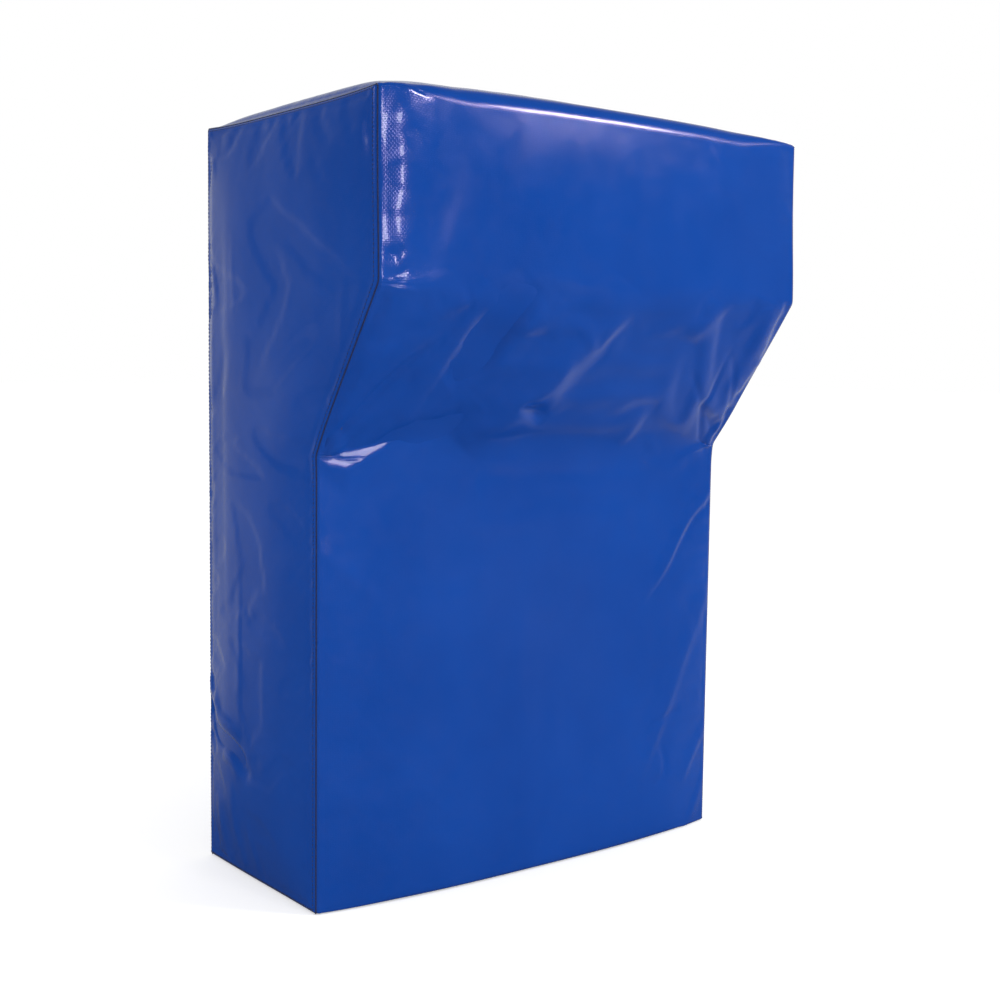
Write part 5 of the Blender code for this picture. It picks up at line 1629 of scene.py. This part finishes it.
def strap_path(half_span, standoff, sewn, spacing=0.0018):
    """Evenly spaced points of a loop, as y and z, from its upper sewn end to its lower one."""
    arch = [(SEWN_Y + standoff * (1 - share**3), half_span * share) for share in np.linspace(1, 0, 400)]
    clear = [point for point in arch if math.dist(point, arch[0]) > BEND_REACH]
    first, corner, last = (SEWN_Y, half_span + BEND_REACH), arch[0], clear[0]
    bend = []
    for t in np.linspace(0, 1, 40):
        weights = ((1 - t) ** 2, 2 * t * (1 - t), t * t)
        bend.append(tuple(sum(w * p[k] for w, p in zip(weights, (first, corner, last))) for k in (0, 1)))
    upper = np.array([(SEWN_Y, half_span + sewn), *bend, *clear])
    line = np.vstack((upper, upper[-2::-1] * (1, -1))) + (0, STRAP_Z)
    reached = np.concatenate(((0,), np.cumsum(np.linalg.norm(np.diff(line, axis=0), axis=1))))
    places = np.linspace(0, reached[-1], int(reached[-1] / spacing) + 1)
    return np.stack([np.interp(places, reached, line[:, k]) for k in (0, 1)], axis=1), places


def path_normals(line):
    """Directions off the path, away from the back."""
    along = unit(np.gradient(line, axis=0))
    return np.stack((-along[:, 1], along[:, 0]), axis=1)


def carried(x, line, normals, sections):
    """Rings of points: each section's (across, off) points, set up on its place of the line."""
    rows = zip(line, normals, sections)
    return [[(x + a, y + d * ny, z + d * nz) for a, d in section] for (y, z), (ny, nz), section in rows]


def webbing_section(width, bow):
    """Flat webbing with rounded selvages and a slight bow across, as (across, off) points."""
    half, thick = width / 2, WEBBING_THICK / 2
    upper = []
    for share in (-1, -0.985, -0.95, -0.88, -0.6, -0.3, 0, 0.3, 0.6, 0.88, 0.95, 0.985, 1):
        edge = max(0.0, (abs(share) - 0.9) / 0.1)
        upper.append((half * share, thick * math.sqrt(max(1 - edge**2, 0.0)), bow * (1 - share**2)))
    top = [(a, off + rise) for a, off, rise in upper]
    bottom = [(a, -off + rise) for a, off, rise in reversed(upper[1:-1])]
    return top + bottom


def webbing_loop(label, sizes):
    """The webbing of one loop, with its woven face following its length."""
    line, places = strap_path(sizes["half_span"], sizes["standoff"], sizes["sewn"])
    normals = path_normals(line)
    raised = eased((line[:, 0] - SEWN_Y) / 0.02)
    sections = [webbing_section(sizes["width"], WEBBING_BOW * up) for up in raised]
    verts = [point for ring in carried(sizes["x"], line, normals, sections) for point in ring]
    count = len(sections[0])
    ends = [tuple(range(count)), tuple(range(len(verts) - count, len(verts)))]
    mesh = new_mesh(label, verts, tube_faces(len(line), count) + ends)
    write_uv(mesh, np.array([(a, place) for place, section in zip(places, sections) for a, _ in section]))
    tidied(mesh)
    return add_piece(label, mesh, WEBBING), line, normals, places


LOOPS = {}
for name, sizes in STRAPS.items():
    piece, line, normals, places = webbing_loop(name + "_webbing", sizes)
    LOOPS[name] = (line, normals, places)
    start, end = (Vector((sizes["x"], SEWN_Y + off, STRAP_Z)) for off in TURN_ZONE[name])
    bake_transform(piece)
    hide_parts(*(name + "_strap_" + part for part in ("end_upper", "end_lower", "webbing")))
    print(piece.name, "is", round(float(places[-1]) * 1000), "mm long")

# %% [markdown]
# ## Padded sleeves
# The forearm loop has a flat pad on the side that the arm lies against, and the hand loop has a round
# grip. Both are foam in a vinyl sleeve that is drawn in and sewn down at its ends. The sleeve starts a
# little slimmer than it ends up, and the cloth simulation fills it out.

# %% Sleeve maker
SLEEVES = {
    "arm": {"share": 0.6, "half": 0.0362, "low": -0.0112, "high": 0.0032, "power": 0.42, "pinch": 0.011},
    "grip": {"share": 0.55, "half": 0.0186, "low": -0.0122, "high": 0.0122, "power": 0.8, "pinch": 0.009},
}
# The CAD nodes that each sleeve stands for
SLEEVE_NODES = {"arm": ("arm_pad_sleeve", "arm_pad_foam"), "grip": ("grip_sleeve", "grip_foam")}
SLEEVE_AROUND, END_POWER = 96, 0.3
SLEEVE_SLACK, SLEEVE_PRESSURE, SLEEVE_CAPS = 0.015, 1.0, (0.0004, 0.0012)
# Room that the sleeve's pinched ends leave over the webbing, its bore's room, and where its stitches run
END_ROOM, END_SIDE_ROOM, BORE_ROOM, BORE_SHIFT, STITCH_PLACE = 0.0014, 0.0016, 0.0004, 0.0006, 0.0055
# Gathers at the sleeve's ends: height, how many round it, and how far on they start. Then how far from
# the end they begin and die away, and the dent that the stitches pull in
GATHERS = ((0.0007, 17, 1), (0.0005, 29, 2))
GATHER_START, GATHER_FADE, DENT_DEPTH, DENT_WIDTH = 0.003, 0.009, 0.0006, 0.0016


def sleeve_section(half, low, high, power):
    """A full, nearly oval section. A small power makes it squarer."""
    middle, depth = (low + high) / 2, (high - low) / 2
    section = []
    for step in range(SLEEVE_AROUND):
        angle = 2 * math.pi * step / SLEEVE_AROUND
        a, d = math.cos(angle), math.sin(angle)
        across = math.copysign(abs(a) ** power, a) * half
        section.append((across, middle + math.copysign(abs(d) ** power, d) * depth))
    return section


def sleeve_surface(sizes, shape, line, normals, from_end):
    """Grid of the sleeve's outside, with its ends drawn in to the webbing."""
    sections = []
    for gap in from_end:
        full = min(gap / shape["pinch"], 1.0)
        full = math.sqrt(max(1 - (1 - full) ** 2, 0.0))
        thin = WEBBING_THICK / 2 + END_ROOM
        half = sizes["width"] / 2 + END_SIDE_ROOM
        half += (shape["half"] - sizes["width"] / 2 - END_SIDE_ROOM) * full
        low = -thin + (shape["low"] + thin) * full
        high = thin + (shape["high"] - thin) * full
        power = shape["power"] + (END_POWER - shape["power"]) * (1 - full)
        sections.append(sleeve_section(half, low, high, power))
    return np.array(carried(sizes["x"], line, normals, sections))


def tube_normals(rings):
    """Unit directions off a closed tube of rings."""
    around = np.roll(rings, -1, axis=1) - np.roll(rings, 1, axis=1)
    normals = unit(np.cross(around, np.gradient(rings, axis=0)))
    outward = rings - rings.mean(axis=1, keepdims=True)
    return normals if (normals * outward).sum() > 0 else -normals


def filled_out(name, rings, from_end):
    """The sleeve's rings once its cloth has settled under the foam's pressure."""
    outward = tube_normals(rings)
    joined, outward = (np.concatenate((grid, grid[:, :1]), axis=1) for grid in (rings, outward))
    hold = np.where(from_end * np.ones((1, SLEEVE_AROUND + 1)) < 0.004, 1.0, HOLD)
    feel = (SLEEVE_SLACK, SLEEVE_PRESSURE, SLEEVE_CAPS)
    off = simulated(name + "_sleeve_cloth", joined, outward, hold, *feel, cyclic=True)
    return rings + outward[:, :-1] * off[:, :-1, None]


def padded_sleeve(name, seed):
    """The sleeve with its foam as one cushion, with a bore that the webbing passes through."""
    sizes, shape, count = STRAPS[name], SLEEVES[name], SLEEVE_AROUND
    line, path_off, places = LOOPS[name]
    inside = np.flatnonzero(np.abs(line[:, 1] - STRAP_Z) <= sizes["half_span"] * shape["share"])
    line, path_off, places = line[inside], path_off[inside], places[inside]
    from_end = np.minimum(places - places[0], places[-1] - places)
    rings = sleeve_surface(sizes, shape, line, path_off, from_end)
    places = places - places[0]
    from_end = np.minimum(places, places[-1] - places)[:, None]
    rings = filled_out(name, rings, from_end)
    normals = tube_normals(rings)
    girth = np.linalg.norm(np.roll(rings, -1, axis=1) - rings, axis=2)
    around = np.cumsum(girth, axis=1) - girth
    turn = around / girth.sum(axis=1, keepdims=True) * 2 * np.pi
    gather = sum(high * np.sin(turn * waves + seed * start) for high, waves, start in GATHERS)
    height = gather * np.exp(-from_end / GATHER_FADE) * (1 - bell(from_end, GATHER_START))
    height = height - DENT_DEPTH * bell(from_end - STITCH_PLACE, DENT_WIDTH)
    rings = rings + normals * height[..., None]
    half, thin = sizes["width"] / 2 + BORE_ROOM, WEBBING_THICK / 2 + BORE_ROOM
    bore_section = sleeve_section(half, -thin + BORE_SHIFT, thin + BORE_SHIFT, END_POWER)
    chosen = [0, *range(4, len(line) - 4, 6), len(line) - 1]
    bore = np.array(carried(sizes["x"], line[chosen], path_off[chosen], [bore_section] * len(chosen)))
    offset, bore_end = len(rings) * count, (len(rings) + len(bore) - 1) * count
    faces = tube_faces(len(rings), count) + tube_faces(len(bore), count, offset, flipped=True)
    for outer, inner in ((0, offset), (offset - count, bore_end)):
        faces += ring_faces(range(outer, outer + count), range(inner, inner + count))
    mesh = new_mesh(name + "_pad", np.concatenate((rings, bore)).reshape(-1, 3).tolist(), faces)
    uv = np.stack((around, np.broadcast_to(places[:, None], around.shape)), axis=-1).reshape(-1, 2)
    write_uv(mesh, np.concatenate((uv, np.zeros((len(bore) * count, 2)))))
    tidied(mesh)
    piece = add_piece(name + "_pad", mesh, DARK_VINYL)
    finished(piece, name + "_strap", "dark_vinyl", *SLEEVE_NODES[name], fill=0.8)
    return rings, normals, places


PADS = {name: padded_sleeve(name, seed) for name, seed in (("arm", 1.3), ("grip", 2.1))}

# %% Sleeve stitches
SLEEVE_STITCH, STITCH_RISE = (0.0034, 0.0025, 0.0006), 0.0002
for name, (rings, normals, places) in PADS.items():
    raised = rings + normals * STITCH_RISE
    ends = [int(np.argmin(np.abs(places - place))) for place in (STITCH_PLACE, places[-1] - STITCH_PLACE)]
    lines = [np.vstack((raised[k], raised[k, :1])) for k in ends]
    if name == "arm":
        half = SLEEVE_AROUND // 2
        lines += [raised[4:-4, step] for step in (9, half - 9, half + 9, SLEEVE_AROUND - 9)]
    stitch_row(name + "_pad_stitches", lines, *SLEEVE_STITCH, STRAP_THREAD, name + "_strap", "dark_vinyl")

# %% [markdown]
# ## Stitching on the patches
# The sewn ends of each loop carry the whole load, so they get a box with a cross in it, and the patches
# under them get two rows round their edge. The zip's end tabs and the slot's hems have one row each.

# %% Box stitches
PATCH_FACE_Y, WEB_FACE_Y = 0.10255, SEWN_Y + WEBBING_THICK / 2
STRAP_STITCH = (0.0034, 0.0026, 0.0008)
# How far the box of stitches lies inside the webbing's selvages, its bend and its end
BOX_INSET, BOX_NEAR, BOX_FAR = 0.0035, 0.003, 0.004
# Two rows round a patch: how far inside its edge, and their corner's radius
OUTER_ROW, INNER_ROW = (0.003, 0.0055), (0.0055, 0.0035)


def dense(points, spacing=0.0005):
    """Points along straight stretches, close enough together to be cut into equal stitches."""
    line = []
    for a, b in zip(points, points[1:]):
        count = max(int(math.dist(a, b) / spacing), 1)
        line += [tuple(a[k] + (b[k] - a[k]) * step / count for k in range(3)) for step in range(count)]
    return [*line, tuple(points[-1])]


def rounded_box(low_x, high_x, low_z, high_z, corner, y):
    """A closed line round a box with rounded corners."""
    line = []
    left, right, bottom, top = low_x + corner, high_x - corner, low_z + corner, high_z - corner
    for quarter, (cx, cz) in enumerate(((right, top), (left, top), (left, bottom), (right, bottom))):
        for step in range(7):
            angle = math.pi / 2 * (quarter + step / 6)
            line.append((cx + corner * math.cos(angle), y, cz + corner * math.sin(angle)))
    return [*line, line[0]]


def node_box_line(node, inset, corner):
    """A line round a patch or tab, a little inside its edge."""
    low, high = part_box(node)
    return rounded_box(low.x + inset, high.x - inset, low.z + inset, high.z - inset, corner, PATCH_FACE_Y)


for name, sizes in STRAPS.items():
    lines = []
    for end, side in (("upper", 1), ("lower", -1)):
        lines += [node_box_line(name + "_strap_patch_" + end, *row) for row in (OUTER_ROW, INNER_ROW)]
        half = sizes["width"] / 2 - BOX_INSET
        near = STRAP_Z + side * (sizes["half_span"] + BEND_REACH + BOX_NEAR)
        far = STRAP_Z + side * (sizes["half_span"] + sizes["sewn"] - BOX_FAR)
        left, right = sizes["x"] - half, sizes["x"] + half
        a, b, c, d = ((x, WEB_FACE_Y, z) for x, z in ((left, near), (right, near), (right, far), (left, far)))
        lines += [dense([a, b, c, d, a]), dense([a, c]), dense([b, d])]
    stitch_row(name + "_strap_stitches", lines, *STRAP_STITCH, STRAP_THREAD, "shield", "webbing")

# %% Zip stitches
HEM_ROW_HALF, HEM_ROW_INSET, HEM_ROW_Y = 0.19, 0.0035, BACK_Y + 0.0001
lines = [node_box_line("zip_end_tab_" + side, *OUTER_ROW) for side in ("left", "right")]
for z in (ZIP_Z - ZIP_SLOT / 2 - HEM_ROW_INSET, ZIP_Z + ZIP_SLOT / 2 + HEM_ROW_INSET):
    lines.append(dense([(x, HEM_ROW_Y, z) for x in (-HEM_ROW_HALF, HEM_ROW_HALF)]))
stitch_row("zip_seam_stitches", lines, *SEAM_STITCH, COVER_THREAD, "shield", "zip_tape")

# %% [markdown]
# ## Foam inside
# Four blocks of foam fill the cover. They are cut with a hot wire, so their faces are flat with a fine
# waviness and their edges are soft. A voxel remesh of the CAD solids gives even faces to work on.

# %% Foam blocks
FOAM_VOXEL, FOAM_SHRINK = 0.007, 0.0025
WAVE_SCALE, WAVE_HEIGHT = 24, 0.0004


def foam_block(label, node, material, slot, seed):
    """A block of foam in the place of a CAD solid."""
    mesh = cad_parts[node].data.copy()
    mesh.name = label
    tidied(mesh, merge=True)
    piece = add_piece(label, mesh, material, smooth=False)
    change = piece.modifiers.new("voxels", "REMESH")
    change.mode, change.voxel_size, change.use_smooth_shade = "VOXEL", FOAM_VOXEL, True
    bake(piece)
    mesh = piece.data
    places = vertex_places(mesh)
    normals = np.zeros(places.size)
    mesh.vertex_normals.foreach_get("vector", normals)
    waves = [noise.noise(Vector(place) * WAVE_SCALE + Vector((seed, 0, 0))) for place in places]
    moved = np.array(waves)[:, None] * WAVE_HEIGHT - FOAM_SHRINK
    mesh.vertices.foreach_set("co", settled(places + normals.reshape(-1, 3) * moved).ravel())
    mesh.update()
    painted(mesh, material)
    finished(piece, "shield", slot, node, fill=1.0)


FOAMS = {"foam_firm": FOAM_FIRM, "foam_soft": FOAM_SOFT}
for seed, label in enumerate(("back_slab", "core_block", "head_wedge", "face_layer")):
    slot = "foam_firm" if label == "back_slab" else "foam_soft"
    foam_block(label, "foam_" + label, FOAMS[slot], slot, seed * 5.0)

# %% [markdown]
# The visual model has to stay close to the CAD model's box.

low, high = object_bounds()
print("visual box", [tuple(round(v, 4) for v in corner) for corner in (low, high)])
